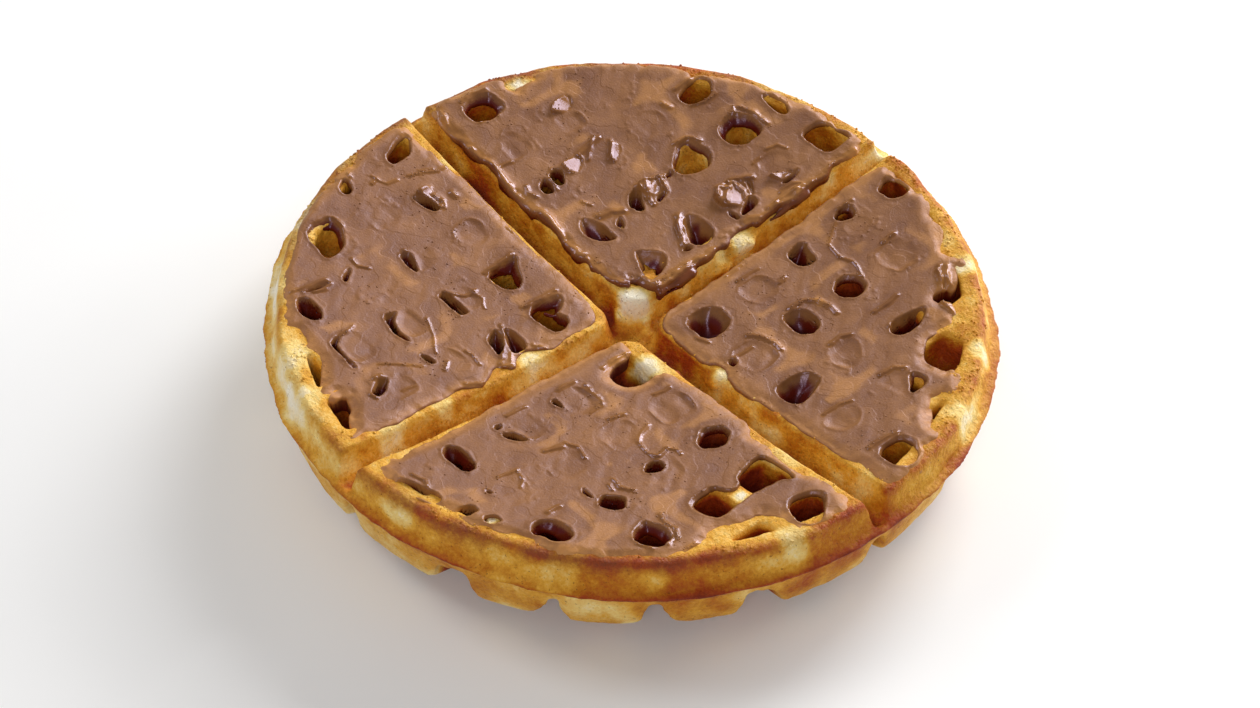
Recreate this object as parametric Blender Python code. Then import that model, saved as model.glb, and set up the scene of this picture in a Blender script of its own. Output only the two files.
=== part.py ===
"""A round waffle of four quarters with deep pockets on both sides, slightly dished, under chocolate spread.

Metres, +Z up. The origin is on the surface that the waffle stands on, under the middle of its cross.
X and Y run along the two grooves of the cross. Everything is first made flat and then dished by one rule.
"""

import math

import bmesh
import bpy

MM = 0.001

# The waffle before it is dished
CORE_HEIGHT = 20.0 * MM
RIM_STEPS = 90
# The wall from the underside to the top, as radius and height: the seam stands proud about half way up
WALL = [
    (83.6 * MM, 0.0 * MM),
    (86.0 * MM, 1.3 * MM),
    (87.3 * MM, 4.2 * MM),
    (88.2 * MM, 9.8 * MM),
    (90.2 * MM, 11.4 * MM),
    (90.2 * MM, 12.5 * MM),
    (88.5 * MM, 13.4 * MM),
    (87.2 * MM, 16.4 * MM),
    (86.3 * MM, 19.0 * MM),
    (85.0 * MM, 20.0 * MM),
]
SEAM_HEIGHT = 12.0 * MM
SEAM_REACH = 4.0 * MM
SEAM_WOBBLE = 0.5 * MM

# How far the rim is lifted above the middle, on the top and on the underside
DISH_RADIUS = 90.0 * MM
TOP_RISE = 10.8 * MM
TOP_SLOPE_X = -0.8 * MM
TOP_SLOPE_Y = -1.5 * MM
FLAT_FOOT_RADIUS = 20.0 * MM
FOOT_RISE = 7.5 * MM

# The pockets stand in a square grid in each quarter
FIRST_POCKET = 13.6 * MM
POCKET_PITCH = 16.2 * MM
POCKET_DEPTH = 7.8 * MM
POCKET_FLOOR_HALF = 4.0 * MM
POCKET_MOUTH_HALF = 5.4 * MM
POCKET_CORNER = 0.3
POCKET_LIMIT_RADIUS = 81.5 * MM
ROWS_IN_COLUMN = {1: 5, 2: 5, 3: 4, 4: 3, 5: 2}
# On the underside these stand further out, so that their corners break through the rim
BREAK_THROUGH = [(4, 3), (3, 4)]
BREAK_SHIFT = 3.6 * MM

# The cross of grooves, as depth and half width
GROOVE = [(8.2 * MM, 1.7 * MM), (5.0 * MM, 2.5 * MM), (1.2 * MM, 3.2 * MM), (0.0 * MM, 3.9 * MM)]
GROOVE_END = 89.0 * MM
CROSS_CORNER = 3.0 * MM
CUT_CLEARANCE = 1.5 * MM

# The spread
SPREAD_GAP = 0.35 * MM
SPREAD_THICKNESS = 1.3 * MM
SPREAD_EDGE_STEP = 5.0 * MM
SPREAD_EDGE_WAVE = 0.55 * MM
PLUG_DEPTH = 5.4 * MM
PLUG_GAP = 0.45 * MM
HOLE_STEPS = 10
HOLE_FLARE = 1.12

# Quarters: the signs of X and Y, the spread's distance from the grooves, the cut of its tip
# and its reach at even steps of angle from the X groove to the Y groove
QUARTERS = {
    "right": ((1, 1), 4.2, 3.5, (83.6, 83.2, 83.8, 79.0, 74.5, 79.5, 83.2, 84.6, 83.0)),
    "back": ((-1, 1), 3.4, 9.5, (84.8, 85.6, 86.0, 85.6, 86.0, 85.4, 85.8, 84.4, 84.8)),
    "left": ((-1, -1), 4.4, 4.0, (84.4, 84.8, 83.2, 84.0, 85.2, 84.6, 83.4, 82.6, 84.0)),
    "front": ((1, -1), 4.2, 4.0, (84.0, 83.0, 80.6, 82.8, 84.4, 84.8, 84.4, 84.0, 83.4)),
}

# Pockets that the spread leaves open, by column and row from the cross. Each opening is given as
# how far its middle lies from the pocket's, along X and Y, and its half widths, all in millimetres.
# Every other pocket is filled.
OPENINGS = {
    "right": {
        (1, 1): (-0.3, 0.0, 3.4, 4.0), (3, 1): (-1.2, 1.3, 4.3, 5.2), (5, 1): (-0.2, 1.3, 4.6, 4.6),
        (2, 2): (-1.0, 0.0, 3.0, 3.6), (4, 2): (1.0, 3.0, 3.0, 2.2), (5, 2): (-2.4, 2.0, 3.4, 4.0),
        (1, 3): (-3.0, 0.6, 1.4, 1.8), (2, 3): (-1.2, 0.8, 4.0, 4.2), (3, 3): (1.9, 1.4, 2.2, 4.6),
        (4, 3): (0.0, 0.4, 5.4, 5.2), (1, 4): (-3.0, 0.7, 2.0, 3.6), (3, 4): (1.2, 1.6, 3.5, 4.0),
        (1, 5): (-0.6, -1.0, 4.0, 3.4),
    },
    "back": {
        (1, 1): (2.0, 1.0, 3.0, 3.0), (2, 1): (1.2, -1.5, 4.6, 2.6), (3, 1): (-1.6, 0.0, 3.0, 4.0),
        (5, 1): (1.0, -0.3, 3.0, 4.2), (1, 2): (2.0, 2.5, 3.4, 3.0), (2, 2): (0.0, -0.5, 3.4, 4.0),
        (5, 2): (3.2, 3.0, 1.6, 1.6), (1, 3): (3.0, -2.0, 2.0, 2.6), (2, 3): (-0.6, 0.6, 4.4, 4.8),
        (4, 3): (-1.8, 1.0, 3.0, 4.2), (2, 4): (0.5, 0.4, 4.6, 4.8), (3, 4): (-1.0, 0.4, 4.0, 4.6),
        (1, 5): (0.6, -0.7, 5.0, 4.4), (2, 5): (0.0, -2.6, 4.6, 2.6),
    },
    "left": {
        (1, 1): (0.8, -0.6, 4.4, 4.6), (2, 1): (0.5, -1.0, 4.4, 4.4), (4, 1): (2.6, -1.2, 2.0, 3.0),
        (5, 1): (0.2, 0.4, 4.6, 4.8), (1, 2): (0.8, -0.3, 4.6, 4.6), (2, 2): (-0.8, -2.6, 2.5, 1.6),
        (5, 2): (3.6, -1.8, 2.2, 2.0), (1, 3): (-3.4, -3.4, 1.3, 1.2), (2, 3): (-1.3, -2.7, 3.4, 1.8),
        (3, 3): (-3.4, -2.5, 1.4, 1.6), (4, 3): (-0.9, -0.4, 4.4, 4.4), (1, 4): (-1.8, -2.2, 2.4, 3.0),
        (3, 4): (0.0, -1.6, 4.6, 3.2), (1, 5): (0.8, 0.4, 4.6, 4.0), (2, 5): (0.5, 2.0, 4.8, 3.4),
    },
    "front": {
        (1, 1): (-0.2, 0.8, 4.6, 4.6), (3, 1): (-1.6, 1.2, 3.3, 4.0), (4, 1): (-0.2, 0.2, 5.2, 5.0),
        (5, 1): (-0.5, 0.2, 4.8, 4.8), (1, 2): (-2.4, -3.4, 2.2, 1.3), (3, 2): (-2.6, -0.3, 2.0, 2.6),
        (4, 2): (0.0, 0.6, 5.0, 4.8), (5, 2): (-1.5, 1.2, 3.8, 4.2), (1, 3): (0.2, -3.0, 4.0, 1.8),
        (3, 3): (0.0, 0.0, 4.2, 3.6), (4, 3): (-1.6, -0.6, 3.8, 3.8), (1, 4): (0.0, -2.0, 4.6, 2.8),
        (3, 4): (-0.3, -1.0, 4.2, 3.8), (1, 5): (2.0, -0.4, 4.4, 2.6), (2, 5): (-0.6, 2.8, 2.2, 2.2),
    },
}

GOLDEN_CRUST = (0.72, 0.38, 0.09)
COCOA_BROWN = (0.31, 0.14, 0.075)


def clear_scene():
    for thing in list(bpy.data.objects):
        bpy.data.objects.remove(thing, do_unlink=True)


def make_material(name, colour, roughness):
    material = bpy.data.materials.new(name)
    material.use_nodes = True
    shader = material.node_tree.nodes["Principled BSDF"]
    shader.inputs["Base Color"].default_value = (*colour, 1.0)
    shader.inputs["Roughness"].default_value = roughness
    shader.inputs["Metallic"].default_value = 0.0
    return material


def dished(x, y, z):
    """The height that a point of the flat form has once the waffle is dished."""
    distance = math.hypot(x, y)
    top = TOP_RISE * (distance / DISH_RADIUS) ** 2 + (TOP_SLOPE_X * x + TOP_SLOPE_Y * y) / DISH_RADIUS
    past_foot = max(0.0, distance - FLAT_FOOT_RADIUS) / (DISH_RADIUS - FLAT_FOOT_RADIUS)
    share = min(1.0, max(0.0, z / CORE_HEIGHT))
    return z + share * top + (1.0 - share) * FOOT_RISE * past_foot**2


def loft(bm, rings):
    """A closed skin through rings of equal counts, with flat ends, its faces pointing out."""
    rows = [[bm.verts.new(point) for point in ring] for ring in rings]
    count = len(rows[0])
    for lower, upper in zip(rows, rows[1:]):
        for i in range(count):
            j = (i + 1) % count
            bm.faces.new((lower[i], lower[j], upper[j], upper[i]))
    bm.faces.new(list(reversed(rows[0])))
    bm.faces.new(rows[-1])


def new_object(name, bm, cutter=False):
    bmesh.ops.recalc_face_normals(bm, faces=bm.faces[:])
    mesh = bpy.data.meshes.new(name)
    bm.to_mesh(mesh)
    bm.free()
    thing = bpy.data.objects.new(name, mesh)
    bpy.context.scene.collection.objects.link(thing)
    if cutter:
        thing.hide_render = True
        thing.display_type = "WIRE"
    return thing


def combine(thing, other, operation):
    """Cuts other out of thing, or joins it on, and removes other."""
    step = thing.modifiers.new(operation.title(), "BOOLEAN")
    step.operation = operation
    step.solver = "EXACT"
    step.object = other
    graph = bpy.context.evaluated_depsgraph_get()
    result = bpy.data.meshes.new_from_object(thing.evaluated_get(graph), depsgraph=graph)
    thing.modifiers.clear()
    thing.data = result
    bpy.data.objects.remove(other, do_unlink=True)


def drop_scraps(bm):
    """Keeps the largest connected piece, where an opening next to an edge cut small scraps off."""
    left = set(bm.verts)
    pieces = []
    while left:
        piece = {left.pop()}
        border = list(piece)
        while border:
            vert = border.pop()
            for edge in vert.link_edges:
                other = edge.other_vert(vert)
                if other not in piece:
                    piece.add(other)
                    border.append(other)
        left -= piece
        pieces.append(piece)
    pieces.sort(key=len, reverse=True)
    scraps = [vert for piece in pieces[1:] for vert in piece]
    bmesh.ops.delete(bm, geom=scraps, context="VERTS")


def finish(thing, name, material):
    """Splits the faces into triangles while they are flat, dishes the form and gives it its material."""
    bm = bmesh.new()
    bm.from_mesh(thing.data)
    bmesh.ops.remove_doubles(bm, verts=bm.verts[:], dist=0.002 * MM)
    drop_scraps(bm)
    bmesh.ops.triangulate(bm, faces=bm.faces[:])
    for vert in bm.verts:
        vert.co.z = dished(*vert.co)
    bm.to_mesh(thing.data)
    bm.free()
    thing.name = name
    thing.data.name = name
    thing.data.materials.clear()
    thing.data.materials.append(material)


def grid_place(number):
    return FIRST_POCKET + POCKET_PITCH * (number - 1)


def pockets():
    """Column, row and middle of each pocket of the quarter where X and Y are positive."""
    for column, rows in ROWS_IN_COLUMN.items():
        for row in range(1, rows + 1):
            yield column, row, grid_place(column), grid_place(row)


def plain_square(x, y, half):
    return [(x + half, y - half), (x + half, y + half), (x - half, y + half), (x - half, y - half)]


def soft_square(x, y, half):
    """A square with cut corners round a middle, drawn in where it would pass the limit radius."""
    inner = half * (1.0 - POCKET_CORNER)
    corners = [(half, -inner), (half, inner), (inner, half), (-inner, half)]
    corners += [(-half, inner), (-half, -inner), (-inner, -half), (inner, -half)]
    points = []
    for dx, dy in corners:
        px, py = x + dx, y + dy
        shrink = min(1.0, POCKET_LIMIT_RADIUS / math.hypot(px, py))
        points.append((px * shrink, py * shrink))
    return points


def score(bm):
    """Splits the faces along the ridges between the pockets, so that they bend evenly when dished."""
    lines = [grid_place(number) - POCKET_PITCH / 2.0 for number in range(1, 6)]
    for place in lines + [-line for line in lines]:
        for normal in ((1.0, 0.0, 0.0), (0.0, 1.0, 0.0)):
            point = tuple(place * part for part in normal)
            geometry = bm.verts[:] + bm.edges[:] + bm.faces[:]
            bmesh.ops.bisect_plane(bm, geom=geometry, dist=0.001 * MM, plane_co=point, plane_no=normal)


def at_height(outline, z):
    return [(x, y, z) for x, y in outline]


def wall_ring(radius, z):
    """One level of the wall, uneven where the seam stands proud."""
    ring = []
    for i in range(RIM_STEPS):
        turn = 2.0 * math.pi * i / RIM_STEPS
        proud = max(0.0, 1.0 - abs(z - SEAM_HEIGHT) / SEAM_REACH)
        wobble = 0.6 * math.sin(8.0 * turn + 0.4) + 0.4 * math.sin(18.0 * turn + 1.9)
        reach = radius + SEAM_WOBBLE * proud * wobble
        ring.append((reach * math.cos(turn), reach * math.sin(turn), z))
    return ring


def pocket_cutters():
    """Every pocket of the top and of the underside. On the underside the outermost break out of the rim."""
    bm = bmesh.new()
    for sx, sy in ((1, 1), (-1, 1), (-1, -1), (1, -1)):
        for column, row, x, y in pockets():
            floor = at_height(soft_square(sx * x, sy * y, POCKET_FLOOR_HALF), CORE_HEIGHT - POCKET_DEPTH)
            mouth = at_height(soft_square(sx * x, sy * y, POCKET_MOUTH_HALF), CORE_HEIGHT + CUT_CLEARANCE)
            loft(bm, [floor, mouth])
            shift = BREAK_SHIFT if (column, row) in BREAK_THROUGH else 0.0
            below_x, below_y = sx * (x + shift), sy * (y + shift)
            mouth = at_height(plain_square(below_x, below_y, POCKET_MOUTH_HALF), -CUT_CLEARANCE)
            roof = at_height(plain_square(below_x, below_y, POCKET_FLOOR_HALF), POCKET_DEPTH)
            loft(bm, [mouth, roof])
    return new_object("pocket_cutters", bm, cutter=True)


def groove_cutter(along_x):
    """One groove of the cross on the top and its twin on the underside."""
    bm = bmesh.new()
    levels = list(GROOVE) + [(-CUT_CLEARANCE, GROOVE[-1][1])]
    for upper in (True, False):
        sides = []
        for depth, half in levels:
            z = CORE_HEIGHT - depth if upper else depth
            sides.append((half, z))
        section = sides + [(-half, z) for half, z in reversed(sides)]
        ends = []
        for end in (-GROOVE_END, GROOVE_END):
            if along_x:
                ends.append([(end, across, z) for across, z in section])
            else:
                ends.append([(across, end, z) for across, z in section])
        loft(bm, ends)
    score(bm)
    return new_object("groove_cutter", bm, cutter=True)


def cross_cutter():
    """Takes the four tips of the quarters back where the grooves cross."""
    bm = bmesh.new()
    for upper in (True, False):
        rings = []
        for depth, half in list(GROOVE) + [(-CUT_CLEARANCE, GROOVE[-1][1])]:
            reach = 2.0 * half + CROSS_CORNER
            z = CORE_HEIGHT - depth if upper else depth
            rings.append([(reach, 0.0, z), (0.0, reach, z), (-reach, 0.0, z), (0.0, -reach, z)])
        loft(bm, rings)
    return new_object("cross_cutter", bm, cutter=True)


def make_waffle(material):
    bm = bmesh.new()
    loft(bm, [wall_ring(radius, z) for radius, z in WALL])
    score(bm)
    waffle = new_object("waffle", bm)
    combine(waffle, pocket_cutters(), "DIFFERENCE")
    combine(waffle, groove_cutter(along_x=True), "DIFFERENCE")
    combine(waffle, groove_cutter(along_x=False), "DIFFERENCE")
    combine(waffle, cross_cutter(), "DIFFERENCE")
    finish(waffle, "waffle", material)


def reach_at(reaches, share):
    """The spread's reach from the middle, read along its even steps."""
    place = share * (len(reaches) - 1)
    step = min(int(place), len(reaches) - 2)
    blend = place - step
    return (reaches[step] * (1.0 - blend) + reaches[step + 1] * blend) * MM


def spread_outline(offset, tip, reaches, phase):
    """The outline of one quarter's spread where X and Y are positive, against the clock from the tip."""
    near = offset * MM
    tip_size = tip * MM
    start = math.asin(near / (reaches[0] * MM))
    sweep = math.pi / 2.0 - 2.0 * start
    far_x = reach_at(reaches, 0.0) * math.cos(start)
    far_y = reach_at(reaches, 1.0) * math.cos(start)
    points = []
    steps = round((far_x - near - tip_size) / SPREAD_EDGE_STEP)
    for i in range(steps):
        x = near + tip_size + (far_x - near - tip_size) * i / steps
        points.append((x, near + SPREAD_EDGE_WAVE * math.sin(x / (3.1 * MM) + phase)))
    steps = round(reaches[0] * MM * sweep / SPREAD_EDGE_STEP)
    for i in range(steps + 1):
        turn = start + sweep * i / steps
        reach = reach_at(reaches, i / steps) + 0.5 * SPREAD_EDGE_WAVE * math.sin(37.0 * turn + phase)
        points.append((reach * math.cos(turn), reach * math.sin(turn)))
    steps = round((far_y - near - tip_size) / SPREAD_EDGE_STEP)
    for i in range(1, steps + 1):
        y = far_y - (far_y - near - tip_size) * i / steps
        points.append((near + SPREAD_EDGE_WAVE * math.sin(y / (2.7 * MM) + phase), y))
    return points


def plug_rings(x, y):
    """What fills one pocket, from part way down to inside the layer above."""
    taper = (POCKET_MOUTH_HALF - POCKET_FLOOR_HALF) / (POCKET_DEPTH + CUT_CLEARANCE)
    drawn_in = 1.0 - PLUG_GAP / math.hypot(x, y)
    rings = []
    for z in (CORE_HEIGHT - PLUG_DEPTH, CORE_HEIGHT + SPREAD_GAP + 0.5 * SPREAD_THICKNESS):
        half = POCKET_FLOOR_HALF + taper * (z - CORE_HEIGHT + POCKET_DEPTH) - PLUG_GAP
        outline = [(px * drawn_in, py * drawn_in) for px, py in soft_square(x, y, half)]
        rings.append(at_height(outline, z))
    return rings


def hole_rings(x, y, half_x, half_y):
    """A torn opening, a little wider at the top than below."""
    rings = []
    levels = (
        (CORE_HEIGHT + SPREAD_GAP - CUT_CLEARANCE, 1.0),
        (CORE_HEIGHT + SPREAD_GAP + SPREAD_THICKNESS + CUT_CLEARANCE, HOLE_FLARE),
    )
    for z, grow in levels:
        ring = []
        for i in range(HOLE_STEPS):
            turn = 2.0 * math.pi * (i + 0.5) / HOLE_STEPS
            uneven = 1.0 + 0.06 * math.sin(3.0 * turn + x / MM) + 0.04 * math.sin(2.0 * turn + y / MM)
            ring.append((x + half_x * grow * uneven * math.cos(turn), y + half_y * grow * uneven * math.sin(turn), z))
        rings.append(ring)
    return rings


def make_spread(quarter, material):
    (sx, sy), offset, tip, reaches = QUARTERS[quarter]
    phase = 1.7 * list(QUARTERS).index(quarter)
    outline = [(sx * x, sy * y) for x, y in spread_outline(offset, tip, reaches, phase)]
    low = CORE_HEIGHT + SPREAD_GAP
    bm = bmesh.new()
    loft(bm, [at_height(outline, low), at_height(outline, low + SPREAD_THICKNESS)])
    score(bm)
    layer = new_object("layer", bm)
    plugs = bmesh.new()
    holes = bmesh.new()
    for column, row, x, y in pockets():
        if (column, row) in OPENINGS[quarter]:
            dx, dy, half_x, half_y = (value * MM for value in OPENINGS[quarter][column, row])
            loft(holes, hole_rings(sx * x + dx, sy * y + dy, half_x, half_y))
        else:
            loft(plugs, plug_rings(sx * x, sy * y))
    combine(layer, new_object("plugs", plugs, cutter=True), "UNION")
    combine(layer, new_object("holes", holes, cutter=True), "DIFFERENCE")
    finish(layer, "spread_" + quarter, material)


def main():
    clear_scene()
    make_waffle(make_material("Baked batter crust", GOLDEN_CRUST, 0.7))
    chocolate = make_material("Chocolate spread", COCOA_BROWN, 0.35)
    for quarter in QUARTERS:
        make_spread(quarter, chocolate)


main()
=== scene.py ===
"""The looks of a round waffle under torn chocolate spread.

The shapes are worked out as smooth fields in millimetres on the flat form, turned into fine meshes, and then
dished and put in metres by one rule, the same one as the frame's.
"""

import math

import bpy
import numpy as np
from mathutils import Matrix, Vector


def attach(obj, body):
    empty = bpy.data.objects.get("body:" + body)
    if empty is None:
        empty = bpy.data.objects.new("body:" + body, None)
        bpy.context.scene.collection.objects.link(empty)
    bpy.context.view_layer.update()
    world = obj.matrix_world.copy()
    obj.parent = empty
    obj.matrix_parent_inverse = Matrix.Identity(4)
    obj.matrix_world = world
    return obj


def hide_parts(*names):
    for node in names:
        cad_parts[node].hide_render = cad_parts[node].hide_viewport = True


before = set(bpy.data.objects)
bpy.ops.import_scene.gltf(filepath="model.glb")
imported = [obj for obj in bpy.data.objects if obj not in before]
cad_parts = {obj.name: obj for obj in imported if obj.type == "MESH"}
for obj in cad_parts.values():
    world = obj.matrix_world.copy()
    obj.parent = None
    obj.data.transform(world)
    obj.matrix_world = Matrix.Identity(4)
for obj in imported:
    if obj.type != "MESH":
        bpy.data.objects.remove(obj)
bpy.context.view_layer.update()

MM = 0.001

# The waffle before it is dished, in millimetres
CORE_HEIGHT = 20.0
WALL_HEIGHTS = (-1.0, 0.0, 1.3, 4.2, 9.8, 11.3, 11.8, 12.3, 13.0, 16.4, 19.0, 20.0, 21.0)
WALL_RADII = (83.2, 85.4, 86.3, 87.4, 88.3, 89.4, 90.2, 89.8, 88.4, 87.2, 86.4, 85.8, 85.4)
SEAM_HEIGHT = 11.9
DISH_RADIUS = 90.0
TOP_RISE = 10.8
TOP_SLOPE = (-0.8, -1.5)
FLAT_FOOT_RADIUS = 20.0
FOOT_RISE = 7.5
FIRST_POCKET = 13.6
POCKET_PITCH = 16.2
POCKET_DEPTH = 7.8
POCKET_FLOOR_HALF = 4.1
POCKET_MOUTH_HALF = 5.3
POCKET_LIMIT_RADIUS = 81.5
ROWS_IN_COLUMN = {1: 5, 2: 5, 3: 4, 4: 3, 5: 2}
BREAK_THROUGH = [(4, 3), (3, 4)]
BREAK_SHIFT = 3.6
GROOVE_DEPTHS = (8.2, 5.0, 1.2, 0.0, -1.0)
GROOVE_HALVES = (1.7, 2.5, 3.1, 3.6, 3.9)
GROOVE_END = 89.0
CROSS_CORNER = 3.0

# The spread: its top, its underside where no pocket lies below, the thickness in a lined pocket, the lean of
# its smooth plates, and the way toward the photograph's viewer
SPREAD_LEVEL = 20.9
SPREAD_SUNK = 19.3
SKIN_THICKNESS = 1.1
LEAN = (-0.2, -0.29)
NEAR_SIDE = (0.75, -0.66)
LINED_DEPTH = 1.25
LINED_SHIFT = 0.9
RAGGED = 0.45
RIM_START, RIM_FULL = 70.0, 80.0
DROOP_RADIUS = 84.0

# How thick each quarter's edge is along the grooves, and how far it hangs into them
LIPS = {"right": 0.25, "back": 1.0, "left": 0.3, "front": 0.0}
DRAPES = {"right": 0.5, "back": 1.5, "left": 0.3, "front": 0.0}

# A fold that rises less than this hangs as a strand of its own
HANGING = -0.35

# How finely the meshes are made
COARSE = 1.0
WAFFLE_REACH = 92.5
SPREAD_REACH = (0.8, 88.6)
SPREAD_HEIGHTS = (11.2, 24.2)
WAFFLE_STEP = 0.52 * COARSE
SPREAD_STEP = 0.32 * COARSE
SPREAD_RISE = 0.36 * COARSE
MOST_TRIANGLES = 190000

# The photograph's frame and the camera that fits it
PHOTO_SIZE = (1260, 708)
PHOTO_AIM = (631.2, 375.1)
CAMERA_AZIMUTH = 48.55
CAMERA_ELEVATION = 46.73
CAMERA_ROLL = 0.89
CAMERA_DISTANCE = 725.5
FOCAL_PIXELS = 2868.9
SENSOR = 36.0

# Which way each quarter lies from the cross
QUARTERS = {"right": (1, 1), "back": (-1, 1), "left": (-1, -1), "front": (1, -1)}

# The spread's outline on each quarter, in millimetres, from the tip at the cross round by the rim
OUTLINES = {
    "right": [
        (4.4, 6.4), (6.5, 4.3), (9, 3.5), (16, 3.0), (24, 3.3), (25.5, 5.5), (29, 5.4), (31, 3.2), (36, 2.9),
        (45, 4.2), (60, 4.1), (76, 4.0), (84, 4.2), (86, 7), (86, 12), (85.6, 16), (84, 18.5), (82.3, 21),
        (83, 24), (82, 25.3), (78.5, 25.5), (75, 27.5), (72.6, 31), (71.5, 34.8), (74.5, 36.5), (73.5, 39),
        (70, 42.5), (67.5, 43.8), (66, 41), (62, 40.8), (58, 43), (56.3, 46), (56, 51.3), (56.5, 53.3),
        (57.5, 55.5), (55, 57.5), (51.5, 59.5), (50, 57.6), (47, 57.5), (46, 61), (48.5, 64), (47, 67),
        (44, 68.5), (46.5, 70.3), (45, 72.2), (41, 72.6), (38.5, 71), (36, 73.5), (33, 75.3), (30, 76.8),
        (27, 78), (24.5, 80.3), (21.5, 81.9), (18.5, 81.9), (16, 81.3), (12, 81.1), (9.5, 82.6), (6, 82.8),
        (4, 82), (3.9, 78), (3.5, 70), (3.2, 62), (3.4, 54), (3.0, 46), (3.6, 40), (3.0, 34), (3.2, 28),
        (3.0, 22), (3.8, 16), (3.2, 11),
    ],
    "back": [
        (-10.5, 5.2), (-12, 4.3), (-18, 3.6), (-26, 2.8), (-32, 3.1), (-38, 4), (-44, 3.3), (-50, 3.1),
        (-52.5, 2.6), (-56, 2.8), (-60, 3.5), (-68, 3.2), (-72.5, 3.4), (-73.5, 2.6), (-79, 2.6), (-82, 3),
        (-84, 4.5), (-84.9, 7), (-84.8, 10), (-83.8, 13), (-83.3, 16), (-83.6, 20), (-82.6, 25), (-80.5, 26.4),
        (-77, 25.8), (-75.8, 27.2), (-77, 30), (-78, 33), (-77.8, 36), (-76.6, 40), (-73.6, 44.5),
        (-69.8, 50.3), (-64.6, 56.6), (-59.6, 61.8), (-56, 65), (-53.4, 66.3), (-51.3, 66), (-50.6, 68.5),
        (-48.8, 69.8), (-45, 72.6), (-41, 75.2), (-38, 76.9), (-34.6, 77.6), (-32, 79.2), (-29.8, 79),
        (-27, 79.4), (-24.6, 81.2), (-21, 82.5), (-17, 82.7), (-13.5, 82.3), (-12, 83.8), (-10, 84.8),
        (-6, 84.3), (-3.2, 84.4), (-2.6, 80), (-3.2, 74), (-2.8, 68), (-2.4, 60), (-2.8, 54), (-3.6, 50),
        (-3.2, 46), (-5, 43.5), (-4.8, 37), (-3.2, 35), (-3.5, 31), (-2.5, 24), (-2.8, 18), (-2.2, 12),
        (-3.4, 10.3), (-5.5, 9.9), (-8.5, 9.6), (-10.3, 8),
    ],
    "left": [
        (-4.8, -8), (-6.3, -6), (-9, -4.8), (-16, -4.2), (-25, -3.8), (-33, -4.6), (-38, -4.2), (-44, -3.7),
        (-52, -3.8), (-58, -3.5), (-62, -3.4), (-66, -4.6), (-70, -5.6), (-74, -4.4), (-79, -5), (-83, -5.8),
        (-84.6, -8), (-84.1, -11), (-83.2, -16), (-82.2, -20), (-80.4, -24), (-78.3, -28.5), (-77, -33),
        (-75.8, -37), (-74.3, -42), (-71.5, -46.5), (-69.6, -50.2), (-65.5, -55), (-61.6, -59), (-60, -61.4),
        (-56.5, -63.6), (-53.5, -65.4), (-50, -68), (-46.8, -71), (-43.4, -73.6), (-42, -72.6), (-41, -70.8),
        (-36, -71.4), (-31, -72), (-27.5, -73.7), (-24.5, -75.8), (-23, -78.4), (-19.6, -79.3), (-18.6, -78),
        (-18.4, -73.8), (-15, -75.3), (-11, -77.8), (-9, -79.3), (-7, -80.3), (-6.3, -82.4), (-7.6, -83.8),
        (-5, -84.3), (-3.4, -83.2), (-3.8, -80), (-4.6, -74), (-3.8, -70), (-4.5, -66), (-5.3, -60),
        (-4.9, -55), (-6, -50), (-3.8, -46), (-3.5, -43.5), (-5.5, -41), (-7.2, -38), (-6, -36.5),
        (-3.9, -34), (-5.5, -32.5), (-7, -31), (-7.4, -28), (-6.5, -26), (-3.9, -23), (-3.9, -20),
        (-5.2, -16), (-4.2, -12),
    ],
    "front": [
        (3.6, -8.5), (4.5, -7), (7, -6.9), (9, -7.5), (9.6, -10.5), (9.7, -14), (11, -17), (14, -17.8),
        (17, -16.6), (18.6, -14), (18.3, -9.5), (17.8, -6.8), (20, -5.5), (25, -4.6), (30, -3.5), (37, -3.0),
        (43, -2.9), (47.5, -3.8), (50, -6.3), (52.5, -5.5), (54.5, -4.6), (59, -6.6), (66, -7), (70, -5.4),
        (72, -4.2), (80, -4.4), (85, -5.5), (85.3, -9), (84.8, -14), (83.4, -18), (80.6, -20.5), (75, -21.5),
        (71, -23.5), (71.5, -27), (70, -31), (69, -35), (70.3, -39), (70.8, -44), (70.3, -48), (69, -50.5),
        (66, -54), (63, -57.6), (59.6, -61.6), (56.4, -64.8), (52, -67.6), (47, -70), (42.5, -72.2),
        (38, -74.3), (34.5, -76.3), (30, -78.2), (26, -79.2), (24.5, -80), (20, -81.8), (14, -83.4),
        (8, -83.8), (4.8, -83), (4.6, -78), (4.8, -70), (4.6, -62), (4.3, -56), (3.4, -50), (3.2, -42),
        (2.9, -34), (3.0, -28), (2.8, -22), (2.9, -15),
    ],
}

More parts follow.
